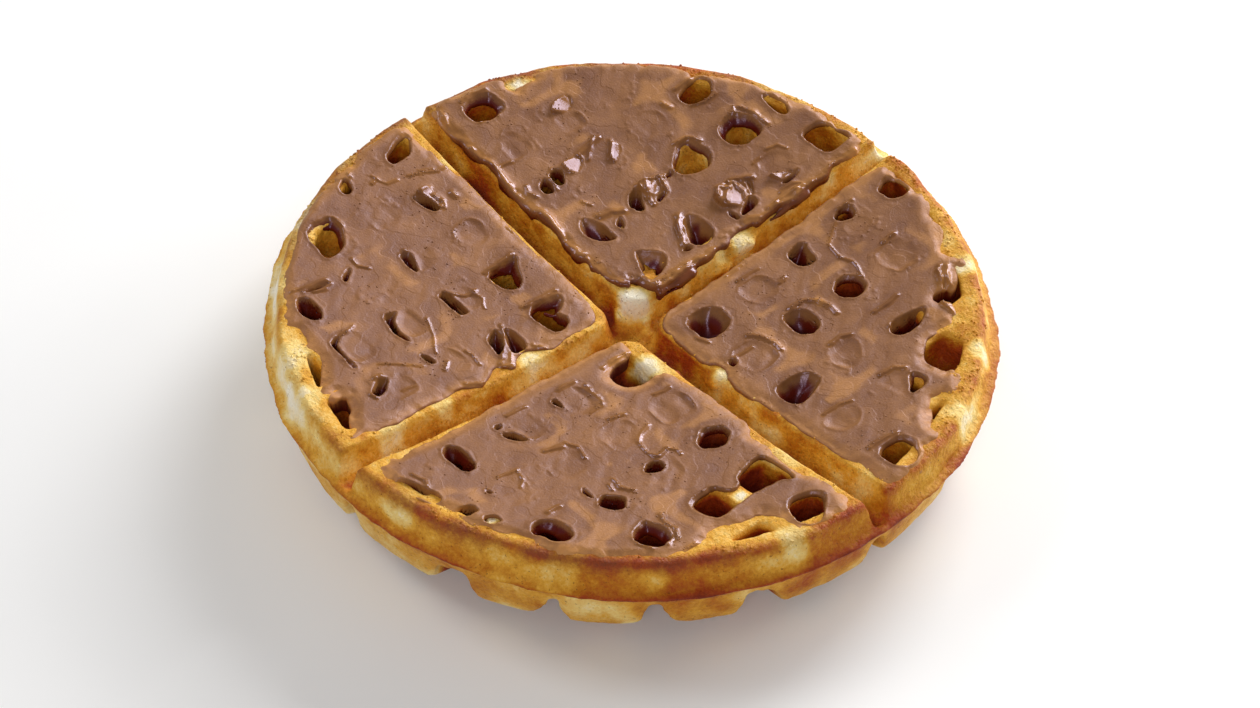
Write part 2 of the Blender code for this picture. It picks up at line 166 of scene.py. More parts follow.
# Where the spread falls into a pocket: the lowest point, its depth, how much of the hollow is bare
# (0 is lined all through, 1 is cut at the very edge) and the hollow's corners, in millimetres
HOLLOWS = {
    "right": [
        (14.6, 11.6, 7.2, 0,
         [(8.8, 11), (9, 16.5), (13, 18.8), (17.6, 17.6), (18.7, 12), (17, 8.6), (10.4, 8.4)]),
        (27.8, 8.3, 2.5, 0, [(26.8, 7.4), (26.8, 9.2), (28.4, 9.6), (29.2, 8.2), (28.6, 7.0)]),
        (46.8, 11.5, 7.4, 0,
         [(41.3, 10.4), (41.6, 16.5), (44, 19.6), (47.4, 19.4), (49.8, 14), (49.9, 9.8), (47, 8.3),
          (43, 8.6)]),
        (79, 13.5, 3, 0.85,
         [(74.6, 18.5), (79, 19.3), (83, 18), (84.2, 14), (83.6, 10.4), (81, 9.5), (77, 9.8), (75, 12.5)]),
        (30.6, 30.5, 7.2, 0,
         [(24.4, 27.6), (25, 32.4), (28.3, 33.9), (31.8, 33.2), (34.3, 30.3), (32.6, 27.2), (29, 26.2)]),
        (65.5, 33, 4.5, 0.7,
         [(61, 35.6), (63.8, 36.8), (67, 36), (67.6, 31), (66, 30.6), (64.6, 32.6), (62.6, 34)]),
        (10.8, 44.8, 6, 0,
         [(8.6, 46.8), (9.9, 49.5), (12, 48), (16, 47.6), (16.4, 44), (14, 42.6), (10, 42.5)]),
        (29, 46, 5, 0.8,
         [(25, 45), (25.3, 48.3), (28, 50.6), (31, 50.4), (33.4, 47.6), (33.2, 44.4), (30.4, 42.4),
          (27, 42.6)]),
        (48.8, 49.5, 6.5, 0,
         [(45.2, 45), (46.3, 50), (47.3, 53.8), (49.5, 52.6), (51.2, 48), (51.2, 44.4), (49.5, 42),
          (46.8, 42.4)]),
        (9.9, 62, 3.5, 0.7, [(7.9, 63), (9.4, 66), (12, 65.4), (12.8, 62.5), (10.6, 59.4), (8.6, 59.8)]),
        (12.6, 77.4, 3.5, 0.8,
         [(8.9, 79), (11.5, 80.4), (16, 80), (17, 77.5), (15.2, 74), (11, 73.6), (9.2, 76)]),
    ],
    "back": [
        (-9.2, 15, 7.2, 0,
         [(-11, 20.9), (-7.4, 17.6), (-6.4, 11.5), (-9.4, 12.2), (-16.6, 14.8), (-15.6, 17.7)]),
        (-26.6, 13.4, 5, 0,
         [(-34, 12.3), (-31, 14.3), (-27, 14.9), (-22.8, 14.7), (-24.8, 10.8), (-27, 9.5), (-30, 9.1),
          (-32.6, 10.1)]),
        (-26.2, 18.9, 3, 0, [(-28.5, 20.6), (-26, 19.8), (-24.4, 18), (-26.8, 17.6)]),
        (-49, 16, 5, 0.6,
         [(-50.4, 17.4), (-48.5, 18.6), (-45, 16.5), (-45.4, 14.4), (-48, 14.2), (-50.2, 15)]),
        (-47, 11.6, 4.5, 0.75, [(-50.2, 13.2), (-47.6, 13.4), (-44.2, 12.2), (-45.4, 9.7), (-48.8, 10.2)]),
        (-77, 13, 4.5, 0.72,
         [(-81, 16), (-79.6, 19.7), (-74.2, 20), (-72.6, 17.6), (-73, 12), (-75, 9.8), (-79.8, 9.6),
          (-80.6, 12)]),
        (-29.6, 26.8, 7.4, 0,
         [(-33.2, 29), (-31.5, 29.9), (-29.5, 29), (-26, 27), (-26.6, 25.2), (-29, 24.6), (-31.6, 25.8)]),
        (-26.4, 32.8, 2.5, 0, [(-27.7, 35.3), (-26, 33.4), (-25.3, 30.9), (-27, 31.2)]),
        (-30.8, 39, 2, 0, [(-31.8, 40.5), (-29.9, 40.3), (-29.9, 37.9), (-31.2, 38.1)]),
        (-9.4, 31.4, 7.2, 0,
         [(-18, 33.6), (-14.5, 35.6), (-7.7, 35.1), (-7, 30), (-9, 28), (-13, 29.8), (-16.4, 31)]),
        (-8.9, 26.4, 3, 0, [(-9.9, 27.3), (-8.2, 27.7), (-7.9, 25.8), (-9.3, 25.1)]),
        (-30, 46.8, 4.5, 0.82,
         [(-37.3, 48), (-36.5, 50.6), (-32, 52.1), (-28.5, 51.8), (-26.2, 49), (-26.2, 45.5), (-28, 42),
          (-30.5, 40.8), (-33.4, 42.4)]),
        (-8.8, 47, 6, 0, [(-12.5, 49.6), (-9.4, 50.8), (-7.8, 49), (-7.7, 43.6), (-9, 44.4)]),
        (-9.6, 42, 4.5, 0, [(-11.8, 42.6), (-8.2, 43.2), (-7.9, 41.8), (-10, 41.4)]),
        (-47, 63, 4, 0.9,
         [(-50.5, 66), (-48.4, 68.2), (-46, 68), (-43.4, 65), (-42.9, 61), (-44.5, 58.2), (-48.5, 57.7),
          (-50.4, 61)]),
        (-28, 63.6, 5.5, 0.7,
         [(-35.2, 62), (-34.7, 65.4), (-31, 67.9), (-27, 67.9), (-24.8, 66), (-24.9, 60), (-27.4, 57.8),
          (-31, 57.6), (-34, 58.9)]),
        (-9, 61.5, 2.5, 0, [(-9.8, 65), (-8.3, 64), (-7.9, 60), (-9, 57.6)]),
        (-12, 77.5, 3.5, 0.92,
         [(-18, 74.5), (-17, 79), (-15.4, 80.9), (-12, 80.9), (-9, 81.8), (-7.2, 81.6), (-7.2, 74.5),
          (-9, 72.9), (-16.5, 72.7)]),
        (-30, 75.5, 3, 0.88,
         [(-34.5, 74.4), (-33, 76.6), (-30.5, 77), (-29.4, 77.6), (-27.5, 77.6), (-25.3, 76), (-25.4, 73.9),
          (-29, 73.2)]),
    ],
    "left": [
        (-15.6, -17, 5.5, 0.72,
         [(-18.3, -19.6), (-17.7, -9.2), (-15.6, -9.2), (-13.2, -12), (-12.6, -14), (-9, -12.1),
          (-7, -16.4), (-8.3, -19)]),
        (-31.4, -17, 5.5, 0.66,
         [(-32.9, -20.1), (-34, -10.6), (-33, -9.7), (-30.4, -11.6), (-26, -13.6), (-24.3, -15.6),
          (-24.9, -17.8), (-28, -19.6)]),
        (-60, -16.8, 5, 0,
         [(-64.2, -19.2), (-61.6, -16.6), (-59.2, -15.2), (-56.8, -15.2), (-56.8, -17.4), (-60, -18.5)]),
        (-77.6, -11.8, 3, 0.85,
         [(-82, -7.7), (-80.2, -6.7), (-76.5, -9.3), (-74.8, -12), (-74.2, -16.6), (-77, -17.2),
          (-79.6, -13.2)]),
        (-9.6, -29.6, 7, 0,
         [(-14.5, -26.2), (-8.6, -26.3), (-7.3, -29), (-8.2, -31.2), (-10.4, -31), (-13.4, -29.4),
          (-16, -28)]),
        (-13.4, -32.4, 7.4, 0,
         [(-17, -29.2), (-13, -30.6), (-10.4, -32.6), (-9, -35), (-12, -34.3), (-14.8, -34),
          (-16.8, -31.4)]),
        (-32.6, -33.4, 4.5, 0,
         [(-34.4, -32), (-32, -31.6), (-25.4, -31), (-24.7, -32.4), (-25.6, -33.9), (-31, -34.3),
          (-33.6, -34.9)]),
        (-47.6, -33.4, 3.5, 0, [(-49.6, -31.6), (-47.4, -31.2), (-42, -33.9), (-46, -34.7), (-49.4, -34.2)]),
        (-75.4, -31.6, 3, 0.7, [(-77.4, -30.4), (-75, -29.7), (-72.3, -31.4), (-73.3, -33.7), (-76, -33.2)]),
        (-17.6, -50.2, 6, 0, [(-20.2, -50.9), (-18.5, -49.3), (-16, -49), (-15.5, -50.3), (-18, -51.1)]),
        (-33.6, -49.6, 3.5, 0,
         [(-35.3, -50.4), (-35, -46), (-33.2, -48.2), (-31.4, -49.8), (-24.4, -50), (-24.8, -51.1),
          (-31, -51.4)]),
        (-50.2, -49.6, 2.5, 0.3, [(-52.6, -47.3), (-51.2, -47.6), (-48.2, -51.2), (-50.2, -51)]),
        (-64.6, -47, 5.5, 0.7,
         [(-68.8, -42), (-67, -40.2), (-64, -40.4), (-59.6, -43), (-57, -47.4), (-56.9, -50.2),
          (-60, -50.6), (-66.5, -49.9), (-68.5, -46)]),
        (-15.6, -65.6, 6, 0, [(-17.8, -62.4), (-16, -63.6), (-12.8, -67.8), (-14.6, -68.8), (-17.8, -66)]),
        (-34.2, -65.4, 2.5, 0,
         [(-35.6, -60), (-34.4, -63.8), (-32.4, -66.4), (-23.8, -66.6), (-24, -67.4), (-33.4, -67.4),
          (-35.4, -65)]),
        (-45.6, -64.6, 6.5, 0.4,
         [(-50, -65), (-49, -62.4), (-46, -61.6), (-43.4, -61.8), (-41.3, -64), (-42, -66.2), (-45, -67.4),
          (-48.2, -66.4)]),
        (-50.6, -58, 2, 0, [(-51.2, -55), (-50, -55), (-49.8, -60), (-51, -63)]),
    ],
    "front": [
        (45, -11.6, 5, 0.78,
         [(40.9, -12.6), (42, -10), (44, -8.6), (46.6, -9.2), (48.2, -12), (48, -15), (46, -17.7),
          (43.4, -17.2), (41.2, -14.6)]),
        (62, -13, 2.5, 0.94,
         [(56.8, -8.3), (61, -7.9), (67, -8), (68.5, -9.5), (66.5, -12), (66.3, -16), (65.3, -20),
          (65.8, -24), (66.6, -28), (67, -31.5), (64, -33.5), (59, -34), (57.5, -31), (57, -24.5),
          (61, -23.3), (61.3, -20.2), (58, -17.5), (56.6, -13)]),
        (77.6, -13.6, 3.5, 0.88,
         [(73.4, -12), (74.5, -8.8), (76.5, -7.9), (79, -9.3), (81, -11.6), (83, -14), (82.4, -17),
          (80, -19), (75.5, -18.2), (73, -15.5)]),
        (12, -34, 6, 0, [(10, -34.7), (10.3, -32.9), (14.3, -33.8), (12, -35)]),
        (43.4, -30.4, 5.5, 0.45,
         [(41.1, -31), (41.8, -28.6), (44, -28.1), (45.2, -30), (44.5, -32.6), (42.8, -33.5)]),
        (14.4, -50.2, 6, 0,
         [(12.3, -51.6), (13.5, -49.5), (16, -47.9), (18.3, -48.2), (16, -50.7), (14, -52)]),
        (10.2, -50.5, 2, 0, [(9.4, -51.6), (9.7, -49.4), (10.8, -50), (11.2, -51.8)]),
        (46.6, -46.6, 7, 0.3,
         [(43, -46.6), (45, -44.3), (47.6, -43), (50.2, -45.5), (48.6, -48.2), (46, -50), (43.8, -48.7)]),
        (39.6, -48.6, 2, 0, [(38.2, -48), (40.8, -48.2), (43, -49.4), (40, -49.6)]),
        (60.2, -48.4, 5, 0.62,
         [(55.8, -44.8), (57.4, -49), (59.5, -51.4), (63, -50.9), (66, -48.5), (65.2, -44), (62, -42.8),
          (58, -43.6)]),
        (13.4, -66.2, 6.5, 0.5,
         [(8.4, -65), (10.5, -62.8), (13, -62.3), (18.6, -63.8), (18.7, -67), (13, -68.2), (10, -67.2)]),
        (27, -66.8, 2, 0, [(25.8, -66.8), (27, -66.2), (28.2, -66.8), (27, -67.4)]),
        (44.6, -65.4, 5.5, 0.55,
         [(41.3, -64), (43.3, -61.3), (46.5, -59.6), (50, -60.8), (51.4, -63.5), (49.7, -66), (46.5, -66.9),
          (44, -68.2), (41.6, -66.2)]),
        (17, -80.6, 6, 0,
         [(11.8, -81.6), (14, -79.8), (18, -78.8), (20, -77.3), (23.6, -77.6), (22, -80.2), (17, -82),
          (13, -83)]),
        (29.2, -75.4, 6, 0,
         [(27.7, -75.4), (28.9, -72.8), (31.2, -73), (30.7, -76), (29, -77.7), (27.6, -77)]),
        (35, -72, 1, 0.95, [(33, -73), (34.6, -70.4), (37.2, -70.8), (36, -73.4), (34, -74)]),
    ],
}

# Curls, lips and strands: the radius, how far the middle stands above the spread, and the line it follows
FOLDS = {
    "right": [
        (0.6, 0.1, [(40.2, 29), (40.2, 33), (41.5, 35.3)]), (0.5, 0.1, [(57, 11), (57.1, 16), (58.4, 19)]),
        (0.5, 0.15, [(27.2, 10), (27.3, 15)]), (0.5, 0.2, [(16, 35), (15.4, 37.4)]),
        (0.6, 0.2, [(40.2, 44), (40.4, 48), (40, 52)]), (0.6, 0.1, [(24.2, 62.6), (24.4, 66)]),
        (0.8, 0.3, [(40.6, 66), (42.6, 63.6), (45, 62), (47, 59.5)]),
        (0.7, 0.5, [(42, 67), (44.6, 64.8), (46.6, 63.6), (47.4, 60)]),
        (0.5, 0.6, [(41.4, 64.4), (44.4, 62.4)]),
        (0.45, 0.25, [(20, 51.8), (23.5, 53), (27, 51.8), (29, 51)]),
        (0.4, 0.12, [(11, 58.5), (13, 55.4), (15, 52.6), (20, 51.8)]),
        (0.7, 0.1, [(24, 31), (24.4, 35), (27, 37.6), (31, 38.4), (33.6, 38)]),
        (0.7, 0.1, [(24, 17), (26.4, 19), (30, 20), (33, 19.6)]),
        (0.6, 0.1, [(56.6, 30), (57.2, 34), (59.4, 35.6)]),
        (0.6, 0.2, [(46.4, 43.4), (48.4, 45), (50.4, 44)]),
        (0.5, 0.3, [(46.8, 46.4), (48.4, 47.6), (50.4, 46.6)]),
        (0.6, 0.0, [(73.4, 10), (73.3, 14.5), (74, 18.4)]), (0.5, 0.2, [(15.6, 7.4), (19, 8.6)]),
        (0.5, 0.1, [(8, 62), (8.4, 67)]), (0.4, 0.1, [(4.6, 27), (4.4, 33)]),
        (0.4, 0.1, [(8.3, 28), (8.2, 35)]),
    ],
    "back": [
        (1.0, -0.5, [(-9.6, 7), (-11, 5.4), (-15, 4.6), (-22, 4.2), (-30, 4), (-38, 4.9), (-45, 4.2)]),
        (0.9, -0.4, [(-48, 4.2), (-54, 3.8), (-60, 4.4), (-68, 4.2)]),
        (0.8, -0.5, [(-72, 4.4), (-78, 3.8), (-83, 5)]),
        (0.6, 0.3, [(-46, 7), (-48, 6.4), (-50, 7.6)]), (0.5, 0.2, [(-59, 4.6), (-59.2, 7), (-58.8, 9.6)]),
        (1.1, -0.3, [(-3, 11.4), (-3.4, 18), (-3.2, 24), (-4.2, 31)]),
        (0.8, 0.1, [(-4.6, 12), (-4.9, 18), (-4.4, 25)]),
        (1.2, -1.0, [(-2.4, 11.6), (-2.0, 17), (-2.4, 23)]),
        (0.9, -2.3, [(-2.3, 11), (-2.0, 16.5), (-2.6, 21)]),
        (0.8, -0.2, [(-4, 47), (-3.6, 54), (-3.2, 60), (-3.4, 67)]),
        (0.7, 0.2, [(-4.8, 50), (-5, 56), (-4.3, 62)]),
        (0.9, -1.4, [(-2.8, 49), (-2.6, 55), (-2.6, 62)]), (0.7, -0.2, [(-3.8, 69), (-3.8, 76), (-3.6, 83)]),
        (0.6, 0.2, [(-9, 10.6), (-6, 10.8), (-3.6, 11.4)]), (0.5, 0.1, [(-6.8, 56), (-7, 60), (-5.4, 62)]),
        (1.0, 0.0, [(-18.6, 31.6), (-16.4, 29.8), (-13, 27.8), (-10.2, 26.4)]),
        (0.6, 0.4, [(-17.6, 30), (-13.4, 27.4)]),
        (0.8, 0.3, [(-32.8, 30), (-32.6, 33), (-31.2, 36.2)]),
        (0.7, 0.4, [(-31.2, 36.2), (-29, 36), (-27, 34.8)]),
        (0.9, 0.2, [(-30.6, 34.6), (-29.4, 32), (-28.2, 30.2)]), (0.6, 0.4, [(-31.6, 32.6), (-29.8, 30.6)]),
        (0.5, 0.2, [(-31.2, 36.6), (-30.6, 38.4), (-30.8, 40.6)]), (0.6, 0.2, [(-28, 30), (-25.6, 29.6)]),
        (1.1, -0.3, [(-31, 16), (-30.6, 19), (-28.8, 22)]), (0.45, 0.3, [(-37.6, 15.6), (-35.2, 17)]),
        (0.5, 0.0, [(-51, 16.4), (-48.4, 14.2), (-44.6, 13.2)]),
        (0.6, 0.1, [(-52.4, 32), (-50.6, 29.4), (-47.8, 26.2)]),
        (0.8, 0.0, [(-51.4, 33), (-51.2, 29), (-50.4, 25)]),
        (0.6, 0.2, [(-48.8, 34.8), (-46, 32.4), (-44.4, 30.8)]),
        (0.6, 0.2, [(-81.6, 11), (-81.8, 15), (-81, 19)]), (0.5, 0.2, [(-73.6, 11.4), (-73.3, 16.6)]),
        (0.45, 0.1, [(-36, 66.2), (-33, 63.2), (-29, 61.2)]),
        (0.4, -0.6, [(-35.4, 64.4), (-32.4, 61.8), (-29.8, 60.4)]),
        (0.4, -1.2, [(-34.6, 62.4), (-32, 60.2)]), (0.6, 0.2, [(-35, 67.6), (-31, 69), (-26, 68.8)]),
        (0.9, 0.3, [(-18, 49.4), (-16.4, 52), (-15.4, 54)]),
        (0.7, 0.6, [(-16.6, 48.6), (-13.4, 49.6), (-10.4, 47.6)]),
        (0.7, 0.4, [(-18.6, 45), (-18, 47.6), (-16.2, 47.8), (-15.2, 45.4), (-13.4, 43.4)]),
        (0.8, 0.2, [(-15, 51.6), (-12, 50.6), (-10.8, 48.6)]),
        (0.6, 0.5, [(-16, 46.4), (-17.4, 44.4), (-15.4, 42.6)]),
        (0.7, 0.2, [(-37.4, 47), (-36.8, 50.6), (-34, 52.4)]),
        (0.6, 0.2, [(-50.8, 58.6), (-51, 62), (-51, 66)]),
        (0.5, 0.1, [(-42.6, 66), (-42.2, 62), (-43.8, 58.4)]), (0.7, 0.0, [(-49.4, 53), (-47, 54)]),
        (0.5, 0.2, [(-20, 63), (-19, 66), (-16.4, 67)]), (0.4, 0.1, [(-19, 60), (-18.6, 57.4)]),
    ],
    "left": [
        (0.6, 0.1, [(-18.6, -9), (-18.6, -14), (-19, -19.4)]), (0.6, -1.4, [(-15.4, -15.4), (-12.4, -13.8)]),
        (0.6, 0.0, [(-34.4, -10), (-33.8, -15), (-33.4, -20)]), (0.8, 0.1, [(-63.4, -13.8), (-63, -16.4)]),
        (0.9, 0.2, [(-60.4, -14.2), (-58.4, -13.4), (-57, -14.6)]),
        (0.8, 0.1, [(-59.4, -9.8), (-57.8, -9.7)]),
        (0.45, 0.2, [(-67, -5), (-66.8, -8.2), (-68.4, -11.6), (-69.4, -15.6)]),
        (0.4, 0.2, [(-68, -8.8), (-69.4, -12)]),
        (0.4, 0.2, [(-74.2, -23.8), (-72, -22.8), (-70.2, -21.8), (-69.8, -19)]),
        (0.5, 0.1, [(-72.6, -23), (-72.4, -25.4)]),
        (0.5, 0.2, [(-17.4, -27.6), (-13, -29.8), (-9.6, -33), (-7, -36.2)]),
        (0.6, 0.0, [(-8, -32), (-5.6, -34), (-5.4, -36)]),
        (0.5, 0.2, [(-30, -25.4), (-30.2, -28.6), (-32.4, -31.4)]),
        (0.35, 0.15, [(-29.6, -26.2), (-27, -25.6), (-24, -27.2)]),
        (0.7, 0.0, [(-49.8, -32), (-48.8, -32.6)]),
        (0.45, 0.2, [(-14.4, -46.6), (-12.2, -49.2)]),
        (0.35, 0.15, [(-22, -61.2), (-19.4, -57), (-16.2, -52.6)]),
        (0.35, 0.15, [(-29, -41.6), (-24, -43.6), (-18.4, -46.8)]),
        (0.6, 0.1, [(-67.4, -40.6), (-64.4, -40.2)]),
        (0.5, 0.1, [(-54, -45), (-51.6, -45.2), (-49.8, -43.4)]),
        (0.45, 0.2, [(-51.6, -55), (-51.9, -60), (-52.2, -65)]),
        (0.45, 0.2, [(-50.2, -54.6), (-49, -57), (-49.6, -60.4)]),
        (0.7, 0.1, [(-18.6, -63.6), (-18.4, -65.8)]),
        (0.5, 0.2, [(-14.4, -69.4), (-12.8, -68.8)]),
        (0.4, 0.1, [(-36, -58.4), (-34.8, -61.8), (-34.8, -64)]),
        (0.5, 0.2, [(-5.8, -47.6), (-4.2, -44.4), (-3.8, -42.4)]), (0.5, 0.1, [(-42.6, -5), (-40.6, -4.8)]),
        (0.6, 0.0, [(-77.8, -28.4), (-76.2, -28.8)]), (0.35, 0.15, [(-12, -62), (-12, -58.6)]),
        (0.5, 0.1, [(-14.6, -40.6), (-12.6, -40), (-9.4, -40.6)]), (0.5, 0.1, [(-7.4, -25.4), (-4.6, -23.6)]),
    ],
    "front": [
        (0.5, 0.1, [(8.6, -8), (8.4, -13), (9, -17)]), (0.5, 0.0, [(8.7, -25.6), (8.6, -31)]),
        (0.5, 0.1, [(24.4, -9), (24, -13.4)]),
        (0.5, 0.1, [(24.6, -24), (24, -28)]),
        (0.5, 0.15, [(31, -22), (32.6, -24.6), (34.4, -27.6), (38, -28.6), (41, -28)]),
        (0.8, 0.1, [(40.4, -24.6), (41.2, -27.6)]), (0.5, 0.2, [(40.2, -24), (42.4, -22.4), (44, -22.8)]),
        (0.5, 0.1, [(8.3, -41), (8.4, -47)]), (0.7, 0.0, [(24.4, -43), (23.4, -47.4)]),
        (0.5, 0.1, [(24, -41.6), (27, -40), (31, -41.4)]), (0.6, 0.1, [(41, -41), (44, -41.6), (47, -39.8)]),
        (0.5, 0.2, [(41.6, -43), (43.6, -43.4)]),
        (0.6, 0.1, [(57, -41), (60, -42), (63, -41.4), (66, -43.4)]),
        (0.5, 0.1, [(24.6, -57), (24.4, -62)]), (0.4, 0.1, [(25, -57.4), (28, -58), (30, -60)]),
        (0.6, 0.0, [(40.4, -57), (40.6, -61)]), (0.5, 0.15, [(13, -78), (16, -77), (18, -77.8)]),
        (0.4, 0.15, [(62, -51.8), (65.4, -50.2)]),
        (0.4, 0.1, [(19.6, -30), (19.4, -26), (17, -24.6), (11, -24.4)]),
        (0.5, 0.1, [(69.6, -41), (70, -45)]),
    ],
}

# Low plates and hollows with a crisp edge: how far they stand up, and their corners
PLATES = {
    "right": [
        (-0.6, [(40.8, 29), (40.8, 33), (42.5, 34.9), (45.5, 34.5), (49.5, 31), (50.6, 27), (46, 25), (42, 26)]),
        (-0.6, [(57.4, 10.6), (57.7, 16), (59.4, 19), (63, 17.8), (65.2, 14), (64.6, 10), (60, 8.4)]),
        (-0.7, [(57.2, 29), (57.5, 33), (60, 35), (63, 33.5), (66, 31.5), (66.8, 28), (61, 27.6), (58, 27.2)]),
        (-0.4, [(24.8, 10), (24.6, 16.6), (30, 18.6), (34.8, 18), (35.4, 10), (30, 8.4)]),
        (-0.4, [(9.6, 26), (9.4, 33.6), (15, 35), (18.4, 33), (18, 26.4), (13, 25)]),
        (-0.4, [(25, 58), (25, 65.4), (31, 67), (35, 65), (35, 58.4), (30, 57)]),
        (-0.4, [(12.6, 59.6), (13.4, 65.6), (17.6, 66), (18.6, 60), (15, 58.4)]),
        (0.25, [(46.4, 57.8), (51, 61), (53.4, 65.8), (54.8, 63), (56.8, 56)]),
    ],
    "back": [
        (0.4, [(-68.5, 34.5), (-67, 36), (-64.5, 35), (-62.8, 32), (-64, 29.5), (-65.5, 28), (-67.5, 30.5)]),
        (0.45, [(-51, 20), (-50.5, 25.5), (-48.5, 25), (-46.3, 22.5), (-46.5, 19), (-50, 18.7)]),
        (0.45, [(-49, 35), (-46.5, 36), (-44, 34), (-42, 31), (-44.5, 30.6)]),
        (0.4, [(-12.6, 60), (-9.9, 64.5), (-9, 61), (-9.4, 58), (-13, 57.4)]),
        (-0.45, [(-64, 27), (-57, 26.4), (-56.6, 34), (-62, 34.4)]),
        (-0.4, [(-18.6, 57.6), (-19, 65), (-13, 67), (-10.4, 65.6), (-9.6, 58)]),
        (-0.35, [(-51, 42.6), (-50.4, 50.4), (-43, 51), (-41.4, 43)]),
        (-0.35, [(-66.4, 10), (-66.8, 17), (-59, 18), (-58, 10)]),
        (0.5, [(-18.6, 46), (-17.8, 50.6), (-15.5, 54), (-11.4, 51.6), (-9.6, 47.4), (-12.4, 42), (-17.4, 42)]),
        (0.4, [(-33.2, 30), (-33, 35.6), (-29.6, 36.6), (-27.4, 34.6), (-27.6, 30.6), (-30.4, 29.6)]),
    ],
    "left": [
        (-0.5, [(-49.8, -26), (-42.4, -26), (-41.6, -33.4), (-47, -31.4), (-49.8, -31)]),
        (-0.5, [(-34, -26.4), (-26, -26), (-25, -31), (-30, -31.4), (-34, -31.4)]),
        (-0.5, [(-34.6, -42.6), (-26, -42), (-24.8, -49.6), (-31.4, -49.6), (-34.8, -45.6)]),
        (-0.5, [(-34.8, -58.6), (-25.4, -58), (-24.4, -66.4), (-32.4, -66.2), (-34.4, -63)]),
        (-0.4, [(-18.6, -42.6), (-10, -42), (-9.6, -48), (-16, -49), (-19.6, -49)]),
        (0.4, [(-64.4, -13.6), (-60.4, -13), (-57, -13.4), (-56.6, -15), (-61.6, -16.4), (-64, -18.6)]),
        (-0.35, [(-50.4, -9.6), (-42, -9.4), (-41.8, -17.6), (-50, -18)]),
        (-0.35, [(-66.4, -26), (-58.4, -25.6), (-58, -33.6), (-66, -34)]),
        (-0.3, [(-18, -58), (-10, -57.6), (-9.6, -65), (-12.8, -66.8), (-17, -61.8)]),
    ],
    "front": [
        (-0.5, [(25, -9), (30, -7.6), (34.8, -9), (35, -17.6), (30, -18.6), (25, -17.8)]),
        (-0.5, [(9.6, -25.4), (18.6, -25), (19, -33), (14, -33.4), (9.8, -32)]),
        (-0.5, [(25.2, -25), (30.4, -24), (34.4, -28.6), (34.6, -34), (25, -34)]),
        (-0.5, [(9.4, -41), (18.4, -41), (18.6, -47.4), (13.6, -49.2), (9.6, -48.6)]),
        (-0.5, [(25.2, -42), (30, -41), (35, -43), (35, -50.6), (26, -51)]),
        (-0.4, [(25.4, -58.4), (30, -58), (35, -60), (35, -67), (26, -66)]),
        (0.3, [(61, -42.6), (66, -42.6), (67, -47), (65.4, -47.6), (62.6, -44.6)]),
        (-0.4, [(41.4, -24.8), (50, -25), (50.4, -33.8), (45.4, -34), (45, -29), (42.6, -27.6)]),
    ],
}

# Where pale crumb or bare pale crust shows: the middle, how wide, and how strong
PALE_SPOTS = [
    (-4.5, 4.5, 5.2, 1.0), (-2.2, 39.5, 3.6, 0.72), (-3, 32.5, 1.6, 0.6), (28.6, 4.2, 2.6, 0.7),
    (13.6, -8.2, 4.2, 0.9),
    (63.3, -22, 2.4, 1.0), (35, -72, 2.2, 1.0), (-77.6, 28, 3.0, 0.9), (83.5, -22.5, 5.0, 0.7),
    (68, 52.5, 3.4, 0.8),
    (-36, -77, 6.0, 0.6), (-22, -83, 5.0, 0.6), (60, -5.6, 4.5, 0.5), (-4.4, -29, 2.6, 0.6),
    (-4.2, -56, 3.4, 0.5),
    (-4.2, -72, 4.0, 0.6), (45, 70.5, 3.0, 0.7), (80, 34, 4.0, 0.6), (-68, -3.6, 3.6, 0.5),
]

# Torn bits of crust that bridge a groove: the middle, and the half length, width and height
TORN_BITS = [
    ((-3.2, 40.0, 17.4), (2.4, 5.2, 2.4)), ((-2.4, 31.5, 15.6), (2.2, 3.6, 2.0)),
    ((27.0, 3.6, 17.4), (3.0, 2.2, 2.2)),
    ((20.0, -3.4, 16.4), (3.6, 1.8, 1.8)), ((39.0, 3.8, 16.0), (2.6, 1.7, 1.8)),
]

# The crumb torn open at the cross: where it starts, which way it runs, its length, half width, top and fall,
# and how far down it reaches
TEAR_START = (-9.5, 8.5)
TEAR_WAY = (0.77, -0.64)
TEAR_LENGTH = 11.5
TEAR_HALF = 5.4
TEAR_TOP = 18.6
TEAR_FALL = 0.62
TEAR_FOOT = 9.0

# The crust's unevenness: how far apart its bumps lie and how far they reach, in millimetres
RIM_SWAY = (14.0, 0.45)
RIM_DENTS = (11.0, 0.7)
SOFT_BUMPS = (13.0, 0.26)
FINE_BUMPS = (3.4, 0.2)
CRUMB_BUMPS = (1.5, 0.09)
TORN_BUMPS = 3.2

# How much more toasted the rim's wall is at these heights: a dark line at the seam, partly its own browning and
# partly painted shade under the flange, pale below it, a browned top edge
RIM_HEIGHTS = (0.0, 2.0, 6.0, 10.8, 11.7, 12.5, 14.0, 16.0, 18.0, 19.2, 20.0)
RIM_BANDS = (-0.34, -0.16, -0.06, -0.02, 0.3, 0.04, -0.04, -0.12, 0.02, 0.2, 0.08)

# How toasted the rim is and how much chocolate is smeared down it, at steps of 30 degrees from the X groove
RIM_TOAST = (0.56, 0.48, 0.42, 0.4, 0.5, 0.5, 0.42, 0.32, 0.28, 0.46, 0.54, 0.54)
RIM_SMEAR = (0.1, 0.05, 0.05, 0.3, 0.5, 0.6, 0.7, 0.6, 0.05, 0.4, 0.6, 0.35)

# How far the rim, and the spread on it, stand out of round at the same steps, in millimetres
RIM_OUT = (0.4, 0.7, -0.6, -0.5, 0.9, 1.7, 0.7, 0.4, 0.7, 0.4, 0.3, 0.3)
SPREAD_OUT = (0.4, 0.7, -0.6, -0.5, 0.9, 1.7, 2.0, 2.3, 0.7, 0.4, 0.0, 0.0)
